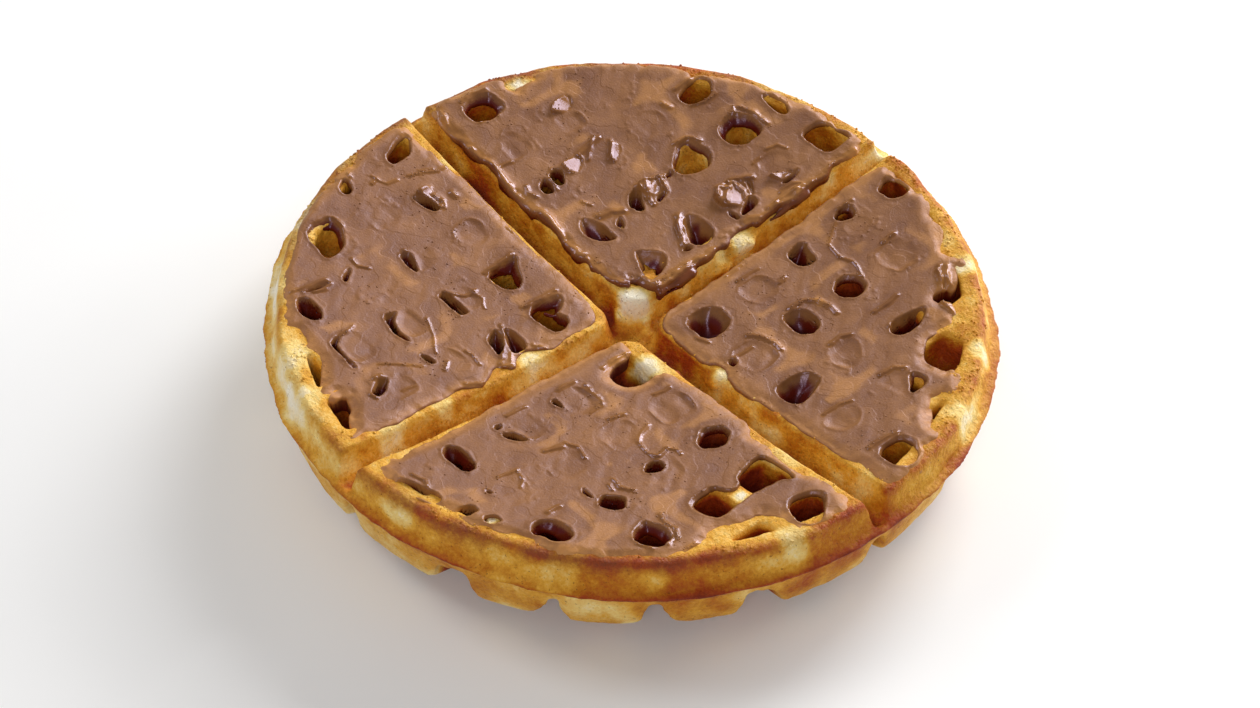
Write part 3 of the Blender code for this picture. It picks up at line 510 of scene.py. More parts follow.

# How much more toasted the grooves toward +X, +Y, -X and -Y are, and how much darker the pockets of each quarter
# are, partly toasting and partly painted shade
GROOVE_TOAST = (-0.02, -0.06, 0.14, -0.07)
POCKET_TOAST_AND_SHADE = {"right": 0.3, "back": 0.1, "left": 0.16, "front": 0.4}


def smooth_max(a, b, blend):
    """The larger of two fields, rounded where they meet."""
    near = np.maximum(blend - np.abs(a - b), 0.0)
    return np.maximum(a, b) + near * near * (0.25 / blend)


def smooth_min(a, b, blend):
    return -smooth_max(-a, -b, blend)


def ease(value, low, high):
    """From 0 at low to 1 at high, level at both ends."""
    share = np.clip((value - low) / (high - low), 0.0, 1.0)
    return share * share * (3.0 - 2.0 * share)


def bumps(x, y, z, size, seed):
    """Smooth noise from -1 to 1 whose bumps lie about size apart."""
    count = 48
    table = np.random.default_rng(seed).uniform(-1.0, 1.0, (count, count, count)).astype(np.float32)
    floors, eased = [], []
    for values in (x, y, z):
        place = np.asarray(values, dtype=np.float32) / size + 300.0
        whole = np.floor(place)
        part = place - whole
        floors.append(whole.astype(np.int32))
        eased.append(part * part * (3.0 - 2.0 * part))
    total = 0.0
    for corner in range(8):
        picks = [(corner >> axis) & 1 for axis in range(3)]
        weight = 1.0
        index = []
        for axis, pick in enumerate(picks):
            weight = weight * (eased[axis] if pick else 1.0 - eased[axis])
            index.append((floors[axis] + pick) % count)
        total = total + weight * table[index[0], index[1], index[2]]
    return total


def layered_bumps(x, y, z, size, seed, layers=3):
    """Noise with finer noise on it, each layer half as large and half as strong."""
    total = 0.0
    for layer in range(layers):
        total = total + bumps(x, y, z, size / 2.0**layer, seed + layer) / 2.0**layer
    return total / (2.0 - 2.0 ** (1 - layers))


def around(x, y, table):
    """A table of values at steps of 30 degrees from +X, read at each point."""
    turn = (np.degrees(np.arctan2(y, x)) % 360.0) / 30.0
    return np.interp(turn, np.arange(13), table + table[:1]).astype(np.float32)


def grid_place(number):
    return FIRST_POCKET + POCKET_PITCH * (number - 1)


def pocket_cells():
    """Which cells of the square grid hold a pocket, by column and row from the cross."""
    here = np.zeros((8, 8), dtype=bool)
    for column, rows in ROWS_IN_COLUMN.items():
        here[column, 1 : rows + 1] = True
    return here


def one_pocket(u, v, depth, wider, deeper):
    """Distance to a pocket's skin from its middle, its walls leaning out and its floor rounded."""
    slope = (POCKET_MOUTH_HALF - POCKET_FLOOR_HALF) / POCKET_DEPTH
    half = POCKET_FLOOR_HALF + slope * (POCKET_DEPTH - depth) + wider + 0.5 * ease(depth, 1.5, -0.5)
    sides = (np.abs(u) ** 5 + np.abs(v) ** 5) ** 0.2 - half
    return smooth_max(sides, depth - POCKET_DEPTH - deeper, 1.6)


def pocket_field(x, y, depth, seed, upper):
    """Distance to the pockets of one face, negative inside them. Depth is counted from that face."""
    here = pocket_cells()
    chance = np.random.default_rng(seed).uniform(-1.0, 1.0, (4, 16, 16)).astype(np.float32)
    start = FIRST_POCKET - POCKET_PITCH / 2.0
    across, cells, lattice = [], [], []
    for values in (x, y):
        reach = np.abs(values) - start
        cell = np.clip(np.floor(reach / POCKET_PITCH), -1, 6).astype(np.int32) + 1
        across.append((reach - (cell - 0.5) * POCKET_PITCH) * np.sign(values))
        cells.append(cell)
        lattice.append(np.where(values > 0, cell + 8, 8 - cell))
    known = here[cells[0], cells[1]]
    draws = [table[lattice[0], lattice[1]] for table in chance]
    u, v = across[0] - 0.3 * draws[0], across[1] - 0.3 * draws[1]
    shape = np.where(known, one_pocket(u, v, depth, 0.18 * draws[2], 0.35 * draws[3]), 4.0)
    if upper:
        return smooth_max(shape, np.hypot(x, y) - POCKET_LIMIT_RADIUS, 1.0)
    for column, row in BREAK_THROUGH:
        u = np.abs(x) - grid_place(column) - BREAK_SHIFT
        v = np.abs(y) - grid_place(row) - BREAK_SHIFT
        shape = np.minimum(shape, one_pocket(u, v, depth, 0.0, 0.4))
    return shape


def groove_field(x, y, depth):
    """Distance to the cross of grooves of one face, negative inside it."""
    half = np.interp(-depth, [-d for d in GROOVE_DEPTHS], GROOVE_HALVES).astype(np.float32)
    floor = depth - GROOVE_DEPTHS[0]
    shape = None
    for along, over in ((x, y), (y, x)):
        bar = smooth_max(np.abs(over) - half, np.abs(along) - GROOVE_END, 1.0)
        shape = bar if shape is None else np.minimum(shape, bar)
    crossing = (np.abs(x) + np.abs(y) - 2.0 * half - CROSS_CORNER) * 0.7
    return smooth_max(smooth_min(shape, crossing, 1.0), floor, 2.4)


def torn_crumb(x, y, z, rough):
    """Distance to the crumb that stands torn open at the cross, negative inside it."""
    from_x, from_y = x - TEAR_START[0], y - TEAR_START[1]
    along = from_x * TEAR_WAY[0] + from_y * TEAR_WAY[1]
    over = from_x * -TEAR_WAY[1] + from_y * TEAR_WAY[0]
    crease = 4.0 * np.exp(-(((over - 0.8 + 0.9 * rough) / 0.8) ** 2)) * ease(along, -1.0, 3.0)
    top = z - TEAR_TOP + TEAR_FALL * np.maximum(along, 0.0) + crease
    top = top + 2.5 * rough + 0.8 * bumps(x, y, z, 1.5, 23)
    torn = smooth_max(top, np.abs(over + 0.8 * rough) - TEAR_HALF + 0.12 * along, 1.2)
    return smooth_max(smooth_max(torn, along - TEAR_LENGTH, 1.5), TEAR_FOOT - z, 1.0)


def baked_body(x, y, z):
    """Distance to the round body with its seam, wavy rim, pockets and grooves, negative inside it."""
    radius = np.hypot(x, y)
    angle = np.arctan2(y, x)
    ring_x, ring_y, level = 90.0 * np.cos(angle), 90.0 * np.sin(angle), 0.0 * z
    height = z + RIM_SWAY[1] * layered_bumps(ring_x, ring_y, level, RIM_SWAY[0], 11, 2)
    wall = np.interp(height, WALL_HEIGHTS, WALL_RADII).astype(np.float32) + around(x, y, RIM_OUT)
    wall = wall + RIM_DENTS[1] * bumps(ring_x, ring_y, level, RIM_DENTS[0], 10) * ease(z, 12.5, 14.5)
    proud = np.maximum(0.0, 1.0 - np.abs(height - SEAM_HEIGHT))
    wall = wall + proud * (0.35 + 0.75 * layered_bumps(ring_x, ring_y, level, 5.0, 12))
    outer = ease(radius, 74.0, 84.0)
    from_top = CORE_HEIGHT - z
    body = smooth_max(radius - wall, z - CORE_HEIGHT, 1.8)
    body = smooth_max(body, -z, 2.0)
    body = smooth_max(body, -pocket_field(x, y, from_top, 21, True), 0.7)
    body = smooth_max(body, -pocket_field(x, y, z, 22, False), 0.9 + 1.2 * outer)
    body = smooth_max(body, -groove_field(x, y, from_top), 0.6)
    return smooth_max(body, -groove_field(x, y, z), 1.0)


def waffle_field(x, y, z):
    """Distance to the baked waffle's surface, negative inside, and nothing below the floor."""
    body = baked_body(x, y, z)
    rough = layered_bumps(x, y, z, TORN_BUMPS, 17, 3)
    by_cross = np.abs(x) + np.abs(y) < 30.0
    body = np.where(by_cross, smooth_min(body, torn_crumb(x, y, z, rough), 0.8), body)
    for (bit_x, bit_y, bit_z), (long, wide, high) in TORN_BITS:
        part = window(x[:, 0, 0], y[0, :, 0], [(bit_x, bit_y)], 8.0)
        away = ((x[part[0]] - bit_x) / long) ** 2 + ((y[:, part[1]] - bit_y) / wide) ** 2
        away = away + ((z - bit_z) / high) ** 2
        lump = (np.sqrt(away) - 1.0) * min(long, wide, high) + 1.3 * rough[part]
        body[part] = smooth_min(body[part], lump, 0.7)
    soft = layered_bumps(x, y, z, SOFT_BUMPS[0], 13, 2)
    fine = layered_bumps(x, y, z, FINE_BUMPS[0], 15, 2)
    crumbs = bumps(x, y, z, CRUMB_BUMPS[0], 19)
    body = body + SOFT_BUMPS[1] * soft + FINE_BUMPS[1] * fine + CRUMB_BUMPS[1] * crumbs
    return np.maximum(body, 0.05 - z)


def skin(field, low, steps):
    """Points and four-sided faces on a sampled field's zero surface, its inside being negative."""
    inside = field < 0.0
    count = np.zeros(tuple(n - 1 for n in field.shape), dtype=np.int8)
    slices = (slice(0, -1), slice(1, None))
    corners = [(i, j, k) for i in (0, 1) for j in (0, 1) for k in (0, 1)]
    for i, j, k in corners:
        count += inside[slices[i], slices[j], slices[k]]
    active = np.argwhere((count > 0) & (count < 8))
    cells = active.T
    values = np.stack([field[cells[0] + i, cells[1] + j, cells[2] + k] for i, j, k in corners], axis=1)
    total = np.zeros((len(active), 3), dtype=np.float32)
    hits = np.zeros(len(active), dtype=np.float32)
    for a, first in enumerate(corners):
        for axis in range(3):
            if first[axis]:
                continue
            second = tuple(part + (1 if place == axis else 0) for place, part in enumerate(first))
            b = corners.index(second)
            va, vb = values[:, a], values[:, b]
            crossed = (va < 0.0) != (vb < 0.0)
            share = np.where(crossed, va / np.where(crossed, va - vb, 1.0), 0.0)
            for place in range(3):
                at = first[place] + (share if place == axis else 0.0)
                total[:, place] += np.where(crossed, at, 0.0)
            hits += crossed
    points = (active + total / hits[:, None]) * np.asarray(steps) + np.asarray(low)
    number = np.full(count.shape, -1, dtype=np.int32)
    number[active[:, 0], active[:, 1], active[:, 2]] = np.arange(len(active))
    faces = []
    for axis in range(3):
        ahead = [slice(None)] * 3
        behind = [slice(None)] * 3
        ahead[axis] = slice(1, None)
        behind[axis] = slice(0, -1)
        one, two = inside[tuple(behind)], inside[tuple(ahead)]
        edges = np.argwhere(one != two)
        others = [place for place in range(3) if place != axis]
        kept = np.all([(edges[:, o] > 0) & (edges[:, o] < field.shape[o] - 1) for o in others], axis=0)
        edges = edges[kept]
        out = one[edges[:, 0], edges[:, 1], edges[:, 2]]
        ring = []
        for back_u, back_v in ((1, 1), (0, 1), (0, 0), (1, 0)):
            cell = edges.copy()
            cell[:, others[0]] -= back_u
            cell[:, others[1]] -= back_v
            ring.append(number[cell[:, 0], cell[:, 1], cell[:, 2]])
        ring = np.stack(ring, axis=1)
        forward = out if axis != 1 else ~out
        faces.append(np.where(forward[:, None], ring, ring[:, ::-1]))
    return points.astype(np.float32), np.concatenate(faces)


def new_mesh(name, points, faces):
    mesh = bpy.data.meshes.new(name)
    mesh.vertices.add(len(points))
    mesh.vertices.foreach_set("co", np.asarray(points, dtype=np.float32).ravel())
    mesh.loops.add(faces.size)
    mesh.loops.foreach_set("vertex_index", faces.astype(np.int32).ravel())
    mesh.polygons.add(len(faces))
    mesh.polygons.foreach_set("loop_start", np.arange(0, faces.size, faces.shape[1], dtype=np.int32))
    mesh.update(calc_edges=True)
    mesh.validate()
    return mesh


def largest_piece(points, faces):
    """Drops the specks that the field may leave beside the main body."""
    label = np.arange(len(points))
    for _ in range(200):
        lowest = label[faces].min(axis=1)
        fresh = label.copy()
        for side in range(faces.shape[1]):
            np.minimum.at(fresh, faces[:, side], lowest)
        fresh = fresh[fresh]
        if np.array_equal(fresh, label):
            break
        label = fresh
    names, sizes = np.unique(label, return_counts=True)
    main = names[np.argmax(sizes)]
    kept = label == main
    renumber = np.cumsum(kept) - 1
    return points[kept], renumber[faces[kept[faces[:, 0]]]]


def modelled(name, points, faces):
    """A flat, fine mesh in millimetres as an object, thinned to the triangles that it may have."""
    points, faces = largest_piece(points, faces)
    thing = bpy.data.objects.new(name, new_mesh(name, points, faces))
    bpy.context.scene.collection.objects.link(thing)
    triangles = 2 * len(faces)
    if triangles > MOST_TRIANGLES:
        thin = thing.modifiers.new("Thin", "DECIMATE")
        thin.ratio = MOST_TRIANGLES / triangles
        graph = bpy.context.evaluated_depsgraph_get()
        thing.data = bpy.data.meshes.new_from_object(thing.evaluated_get(graph), depsgraph=graph)
        thing.modifiers.clear()
    thing.data.name = name
    return thing


def points_of(mesh):
    points = np.empty(3 * len(mesh.vertices), dtype=np.float32)
    mesh.vertices.foreach_get("co", points)
    return points.reshape(-1, 3)


def normals_of(mesh):
    normals = np.empty(3 * len(mesh.vertices), dtype=np.float32)
    mesh.vertex_normals.foreach_get("vector", normals)
    return normals.reshape(-1, 3)


def give_values(mesh, name, values):
    layer = mesh.attributes.new(name, "FLOAT", "POINT")
    layer.data.foreach_set("value", np.clip(values, 0.0, 1.0).astype(np.float32))


def dished(points):
    """Points of the flat form once the waffle is dished, still in millimetres."""
    x, y, z = points[:, 0], points[:, 1], points[:, 2]
    distance = np.hypot(x, y)
    top = TOP_RISE * (distance / DISH_RADIUS) ** 2 + (TOP_SLOPE[0] * x + TOP_SLOPE[1] * y) / DISH_RADIUS
    past_foot = np.maximum(0.0, distance - FLAT_FOOT_RADIUS) / (DISH_RADIUS - FLAT_FOOT_RADIUS)
    share = np.clip(z / CORE_HEIGHT, 0.0, 1.0)
    height = z + share * top + (1.0 - share) * FOOT_RISE * past_foot**2
    return np.stack([x, y, height], axis=1)


def keep(thing, node):
    """Hangs a finished piece under the root body and hides the part of the model that it takes the place of."""
    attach(thing, "root")
    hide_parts(node)


def settle(thing, material, node):
    """Dishes a flat piece, puts it in metres, gives it its material and hangs it under the root body, hiding the
    model's part that it takes the place of.
    """
    mesh = thing.data
    placed = dished(points_of(mesh)) * MM
    mesh.vertices.foreach_set("co", placed.astype(np.float32).ravel())
    mesh.polygons.foreach_set("use_smooth", np.ones(len(mesh.polygons), dtype=bool))
    mesh.update()
    mesh.materials.clear()
    mesh.materials.append(material)
    keep(thing, node)


def linear(colour):
    """An sRGB hex colour as linear values."""
    parts = [int(colour[i : i + 2], 16) / 255.0 for i in (1, 3, 5)]
    return tuple(c / 12.92 if c <= 0.04045 else ((c + 0.055) / 1.055) ** 2.4 for c in parts) + (1.0,)


def give(tree, socket, value):
    """Links another node's output to a socket, or sets the socket's value."""
    if isinstance(value, bpy.types.NodeSocket):
        tree.links.new(value, socket)
    else:
        socket.default_value = value


def add(tree, kind, settings=None, inputs=None):
    """Adds a node with its settings, and sets or links its inputs."""
    node = tree.nodes.new(kind)
    for name, value in (settings or {}).items():
        setattr(node, name, value)
    for name, value in (inputs or {}).items():
        give(tree, node.inputs[name], value)
    return node


def ramp(tree, factor, stops):
    """A colour ramp from places and sRGB colours."""
    node = add(tree, "ShaderNodeValToRGB", inputs={"Fac": factor})
    elements = node.color_ramp.elements
    while len(elements) < len(stops):
        elements.new(0.5)
    for element, (place, colour) in zip(elements, stops):
        element.position = place
        element.color = linear(colour)
    return node.outputs["Color"]


def start_material(name):
    material = bpy.data.materials.new(name)
    material.use_nodes = True
    tree = material.node_tree
    shader = tree.nodes["Principled BSDF"]
    return material, tree, shader


def noise(tree, place, size_mm, detail=3.0, roughness=0.55):
    return add(
        tree,
        "ShaderNodeTexNoise",
        inputs={"Vector": place, "Scale": 1.0 / (size_mm * MM), "Detail": detail, "Roughness": roughness},
    ).outputs["Fac"]


def math_node(tree, operation, *values):
    node = add(tree, "ShaderNodeMath", {"operation": operation})
    for socket, value in zip(node.inputs, values):
        give(tree, socket, value)
    return node.outputs[0]


def blend_colours(tree, share, first, second):
    node = add(tree, "ShaderNodeMix", {"data_type": "RGBA"}, {"Factor": share})
    give(tree, node.inputs[6], first)
    give(tree, node.inputs[7], second)
    return node.outputs[2]


def stored(tree, name):
    """A value that the mesh carries at each point."""
    return add(tree, "ShaderNodeAttribute", {"attribute_name": name}).outputs["Fac"]


def baked_crust():
    """Waffle batter baked in an iron: a thin matt crust, gold to toasted brown, cream where it tore. Its
    browning also carries painted shade deep in the pockets, on the groove floors and under the seam's flange.
    """
    material, tree, shader = start_material("Baked waffle batter")
    place = add(tree, "ShaderNodeTexCoord").outputs["Object"]
    toast = stored(tree, "toast")
    stain = stored(tree, "stain")
    blotch = noise(tree, place, 5.0, 5.0, 0.65)
    speck = noise(tree, place, 0.9, 3.0, 0.7)
    uneven = math_node(tree, "MULTIPLY_ADD", blotch, 0.5, -0.25)
    grainy = math_node(tree, "MULTIPLY_ADD", speck, 0.34, -0.17)
    strength = math_node(tree, "MINIMUM", math_node(tree, "MULTIPLY_ADD", toast, 3.0, 0.25), 1.0)
    level = math_node(tree, "MULTIPLY_ADD", math_node(tree, "ADD", uneven, grainy), strength, toast)
    colour = ramp(
        tree,
        level,
        [
            (0.0, "#fff6e0"),
            (0.18, "#f6d684"),
            (0.38, "#e4a836"),
            (0.56, "#c47a10"),
            (0.74, "#a84208"),
            (0.95, "#762008"),
        ],
    )
    smeared = math_node(tree, "MULTIPLY", stain, math_node(tree, "MULTIPLY_ADD", speck, 1.6, 0.2))
    colour = blend_colours(tree, smeared, colour, linear("#7d4526"))
    dots = math_node(tree, "MULTIPLY_ADD", noise(tree, place, 0.7, 1.0, 0.5), 9.0, -6.0)
    dots = math_node(tree, "MINIMUM", math_node(tree, "MAXIMUM", dots, 0.0), 1.0)
    dots = math_node(tree, "MULTIPLY", dots, 0.7)
    colour = blend_colours(tree, dots, colour, linear("#7a3c0c"))
    pores = noise(tree, place, 0.8, 4.0, 0.65)
    craters = add(
        tree, "ShaderNodeTexVoronoi", {"feature": "SMOOTH_F1"}, {"Vector": place, "Scale": 1.0 / (1.9 * MM)}
    ).outputs["Distance"]
    relief = math_node(tree, "MULTIPLY_ADD", craters, 0.8, pores)
    bump = add(tree, "ShaderNodeBump", inputs={"Height": relief, "Strength": 1.0, "Distance": 0.6 * MM})
    rough = math_node(tree, "MULTIPLY_ADD", blotch, 0.3, 0.38)
    tree.links.new(colour, shader.inputs["Base Color"])
    tree.links.new(rough, shader.inputs["Roughness"])
    tree.links.new(bump.outputs["Normal"], shader.inputs["Normal"])
    shader.inputs["IOR"].default_value = 1.45
    shader.inputs["Specular IOR Level"].default_value = 0.3
    return material


def chocolate_spread():
    """Soft hazelnut chocolate spread, smeared with a knife: satin, glossy where it folded, with dark maroon
    painted shade in its hollows, under its hanging edges and along its rolled edges.
    """
    material, tree, shader = start_material("Hazelnut chocolate spread")
    place = add(tree, "ShaderNodeTexCoord").outputs["Object"]
    thin = stored(tree, "thin")
    fold = stored(tree, "fold")
    gloss = stored(tree, "gloss")
    cloud = noise(tree, place, 9.0, 4.0, 0.6)
    stretched = add(
        tree,
        "ShaderNodeMapping",
        inputs={"Vector": place, "Rotation": (0.0, 0.0, 0.6), "Scale": (1.0, 0.22, 1.0)},
    ).outputs["Vector"]
    streaks = noise(tree, stretched, 1.1, 4.0, 0.65)
    tiny = noise(tree, place, 0.55, 3.0, 0.7)
    grain = math_node(tree, "ADD", math_node(tree, "MULTIPLY_ADD", tiny, 0.35, -0.175), cloud)
    colour = ramp(tree, grain, [(0.3, "#794f2e"), (0.5, "#865930"), (0.7, "#966638")])
    smudge = math_node(tree, "MULTIPLY_ADD", streaks, 1.4, 0.3)
    colour = blend_colours(tree, math_node(tree, "MULTIPLY", thin, smudge), colour, linear("#bd8445"))
    # Painted shade: dark maroon where the mesh marks the insides of hollows, hanging undersides and rolled edges
    colour = blend_colours(tree, fold, colour, linear("#561608"))
    terraces = math_node(tree, "MULTIPLY", noise(tree, place, 9.0, 2.0, 0.45), 6.0)
    over = math_node(tree, "FRACT", terraces)
    riser = math_node(tree, "MAXIMUM", math_node(tree, "SUBTRACT", over, 0.88), 0.0)
    riser = math_node(tree, "MULTIPLY", riser, 8.3)
    step = math_node(tree, "ADD", math_node(tree, "SUBTRACT", terraces, over), riser)
    strokes = math_node(tree, "MULTIPLY", streaks, 0.25)
    relief = math_node(tree, "MULTIPLY_ADD", tiny, 0.7, math_node(tree, "MULTIPLY_ADD", step, 0.36, strokes))
    calm = math_node(tree, "MULTIPLY_ADD", gloss, -0.6, 0.75)
    bump = add(tree, "ShaderNodeBump", inputs={"Height": relief, "Strength": calm, "Distance": 0.22 * MM})
    matt = math_node(tree, "MULTIPLY_ADD", cloud, 0.2, 0.42)
    rough = math_node(tree, "MULTIPLY_ADD", gloss, -0.35, matt)
    tree.links.new(colour, shader.inputs["Base Color"])
    tree.links.new(rough, shader.inputs["Roughness"])
    tree.links.new(bump.outputs["Normal"], shader.inputs["Normal"])
    shader.inputs["IOR"].default_value = 1.5
    shader.inputs["Specular IOR Level"].default_value = 0.45
    shader.inputs["Specular Tint"].default_value = linear("#dccdf4")
    return material


def waffle_values(mesh):
    """How toasted and how stained with chocolate the crust is at each point, with painted shade deep in the
    pockets and on the groove floors.
    """
    points, normals = points_of(mesh), normals_of(mesh)
    x, y, z = points.T
    radius = np.hypot(x, y)
    wide = layered_bumps(x, y, z, 15.0, 31, 2)
    close = layered_bumps(x, y, z, 5.0, 33, 2)
    depth = CORE_HEIGHT - z
    up = normals[:, 2]
    toast = 0.42 + 0.14 * wide + 0.14 * close
    groove = ease(np.minimum(np.abs(x), np.abs(y)), 4.6, 3.8) * ease(depth, 0.3, 1.5)
    pocket = ease(depth, 0.4, 2.4) * ease(radius, 85.0, 82.0) * (1.0 - groove)
    deeper = 0.0
    for quarter, (sx, sy) in QUARTERS.items():
        deeper = np.where((sx * x > 0.0) & (sy * y > 0.0), POCKET_TOAST_AND_SHADE[quarter], deeper)
    # Painted shade, partly real toasting: the crust is darker wherever it lies deeper than about 2 mm in a
    # pocket, by a set amount for each quarter
    toast += pocket * (deeper + 0.16 * wide)
    # Painted shade, partly real toasting: the groove floors, deeper than about 6 mm, are darker still
    floor = groove * ease(depth, 5.5, 7.6)
    arm = np.where(np.abs(x) > np.abs(y), np.where(x > 0.0, 0, 2), np.where(y > 0.0, 1, 3))
    arm_toast = np.asarray(GROOVE_TOAST)[arm] * ease(radius, 4.0, 12.0)
    near_cross = (arm == 0) * 0.34 * ease(radius, 34.0, 14.0) * ease(radius, 5.0, 9.0)
    toast += groove * (arm_toast + near_cross + 0.2 * close) + floor * (0.1 + 0.2 * wide)
    rim = ease(radius, 82.6, 85.6)
    # The dark band at the seam is partly painted shade under the flange
    banded = np.interp(z + 0.5 * close, RIM_HEIGHTS, RIM_BANDS)
    wall = around(x, y, RIM_TOAST) + banded + 0.18 * wide + 0.18 * close
    wall -= 0.22 * ease(bumps(x, y, z, 9.0, 37), 0.2, 0.6)
    toast = toast * (1.0 - rim) + wall * rim
    for spot_x, spot_y, size, strength in PALE_SPOTS:
        away = np.hypot(x - spot_x, y - spot_y) / size
        near = ease(away + 0.4 * close, 1.2, 0.5) * ease(depth, 9.0, 4.0)
        toast = toast * (1.0 - strength * near) + 0.02 * strength * near
    give_values(mesh, "toast", toast)
    smear = around(x, y, RIM_SMEAR)
    low = ease(z + 1.6 * close, 15.5, 19.5)
    stain = smear * rim * low * ease(layered_bumps(x, y, z, 4.0, 41, 3) + smear, -0.1, 0.7)
    splash = ease(layered_bumps(x, y, z, 6.0, 43, 3), 0.2, 0.6) * ease(depth, 6.0, 1.0) * ease(up, -0.5, 0.1)
    give_values(mesh, "stain", np.maximum(stain, 0.35 * splash * ease(radius, 80.0, 70.0)))
    strip = ease(np.minimum(np.abs(x), np.abs(y)), 6.5, 4.5) * ease(radius, 88.0, 84.0)
    loose = np.maximum(strip, ease(radius, 76.0, 82.0) * (z > 17.0)) * ease(up, 0.35, 0.7)
    give_values(mesh, "crumbly", loose * ease(bumps(x, y, z, 6.0, 45), -0.1, 0.5))


def make_waffle(material):
    xs = np.arange(-WAFFLE_REACH, WAFFLE_REACH, WAFFLE_STEP, dtype=np.float32)
    zs = np.arange(-1.5, CORE_HEIGHT + 2.0, WAFFLE_STEP, dtype=np.float32)
    field = waffle_field(xs[:, None, None], xs[None, :, None], zs[None, None, :])
    points, faces = skin(field.astype(np.float32), (xs[0], xs[0], zs[0]), (WAFFLE_STEP,) * 3)
    waffle = modelled("Waffle", points, faces)
    waffle_values(waffle.data)
    settle(waffle, material, "waffle")
    return waffle


def edge_distance(x, y, corners):
    """Distance to a line through the corners and back to the first, negative inside it."""
    nearest = np.full(np.broadcast(x, y).shape, 1e6, dtype=np.float32)
    inside = np.zeros(nearest.shape, dtype=bool)
    for (ax, ay), (bx, by) in zip(corners, corners[1:] + corners[:1]):
        nearest = np.minimum(nearest, line_distance(x, y, [(ax, ay), (bx, by)]))
        if ay != by:
            crosses = (ay > y) != (by > y)
            inside ^= crosses & (x < ax + (y - ay) * (bx - ax) / (by - ay))
    return np.where(inside, -nearest, nearest)


def line_distance(x, y, points):
    """Distance to a line through the points, in plan."""
    nearest = None
    for (ax, ay), (bx, by) in zip(points, points[1:]):
        dx, dy = bx - ax, by - ay
        share = np.clip(((x - ax) * dx + (y - ay) * dy) / (dx * dx + dy * dy), 0.0, 1.0)
        here = np.hypot(x - ax - share * dx, y - ay - share * dy)
        nearest = here if nearest is None else np.minimum(nearest, here)
    return nearest


def rounded(corners, times):
    """A closed line with its corners cut off, each time a little rounder."""
    for _ in range(times):
        cut = []
        for (ax, ay), (bx, by) in zip(corners, corners[1:] + corners[:1]):
            cut.append((0.78 * ax + 0.22 * bx, 0.78 * ay + 0.22 * by))
            cut.append((0.22 * ax + 0.78 * bx, 0.22 * ay + 0.78 * by))
        corners = cut
    return corners


def window(xs, ys, points, margin):
    """The part of the grid that holds the points and a margin round them."""
    low_x, high_x = min(p[0] for p in points) - margin, max(p[0] for p in points) + margin
    low_y, high_y = min(p[1] for p in points) - margin, max(p[1] for p in points) + margin
    across = slice(*np.searchsorted(xs, (low_x, high_x)))
    along = slice(*np.searchsorted(ys, (low_y, high_y)))
    return across, along


def spread_plan(quarter, xs, ys):
    """Flat maps of one quarter's spread as it was smeared on, before its folds, plates and hollows."""
    seed = first_seed(quarter)
    x, y = xs[:, None], ys[None, :]
    ragged_x = RAGGED * layered_bumps(x, y, 0.0, 3.6, seed + 1, 2)
    ragged_y = RAGGED * layered_bumps(x, y, 7.0, 3.6, seed + 2, 2)
    radius = np.hypot(x, y)
    rim = ease(radius, RIM_START, RIM_FULL)
    drawn_in = 1.0 - rim * around(x, y, SPREAD_OUT) / DROOP_RADIUS
    rougher = 1.0 + 1.2 * (quarter == "back") + 0.8 * rim
    outline = rounded(OUTLINES[quarter], 1)
    edge = -edge_distance(x * drawn_in + rougher * ragged_x, y * drawn_in + rougher * ragged_y, outline)
    cloud = layered_bumps(x, y, 0.0, 11.0, seed, 3)
    smear = bumps(x * 0.8 + y * 0.6, (y * 0.8 - x * 0.6) * 0.2, 0.0, 1.8, seed + 4)
    ruffled = ease(bumps(x, y, 0.0, 6.0, seed + 6), 0.2, 0.5)
    plan = {
        "jagged x": x + ragged_x,
        "jagged y": y + ragged_y,
        "radius": radius,
        "rim": rim,
        "edge": edge,
        "cloud": cloud,
        "worn": ease(layered_bumps(x, y, 3.0, 6.0, seed + 7, 2), -0.15, 0.45),
        "ruffle": np.maximum(0.0, bumps(x, y, 0.0, 1.1, seed + 5)) * ruffled,
        "wobble": bumps(x, y, 0.0, 2.0, seed + 8),
        "sway": bumps(x, y, 0.0, 5.0, seed + 12),
        "height": SPREAD_LEVEL + 0.3 * cloud + 0.08 * smear,
    }
    for name, value in (("bottom", SPREAD_SUNK), ("cut", -9.0), ("pocket", 9.0)):
        plan[name] = np.full(radius.shape, value, dtype=np.float32)
    for name in ("gloss", "hollow", "torn"):
        plan[name] = np.zeros(radius.shape, dtype=np.float32)
    return plan


def first_seed(quarter):
    """The first seed of a quarter's noises, which keeps the four quarters unlike each other."""
    return 100 + 10 * list(QUARTERS).index(quarter)


def raise_to(values, part, least):
    """Lifts a part of a map to at least these values."""
    values[part] = np.maximum(values[part], least)


def raise_folds(plan, quarter, xs, ys):
    """Curls that lie on the spread, steep toward the viewer and long on the far side."""
    for half, rise, points in FOLDS[quarter]:
        if rise < HANGING:
            continue
        part = window(xs, ys, points, 3.0 * half)
        x, y = plan["jagged x"][part], plan["jagged y"][part]
        away = line_distance(x, y, points)
        ahead = line_distance(x + 0.1 * NEAR_SIDE[0], y + 0.1 * NEAR_SIDE[1], points)
        side = np.clip((ahead - away) / 0.1, -1.0, 1.0)
        reach = half * (1.5 - 0.8 * side) * (1.0 + 0.3 * plan["wobble"][part])
        plan["height"][part] += (0.8 * half + 0.5 * rise) * np.maximum(0.0, 1.0 - away / reach) ** 1.3


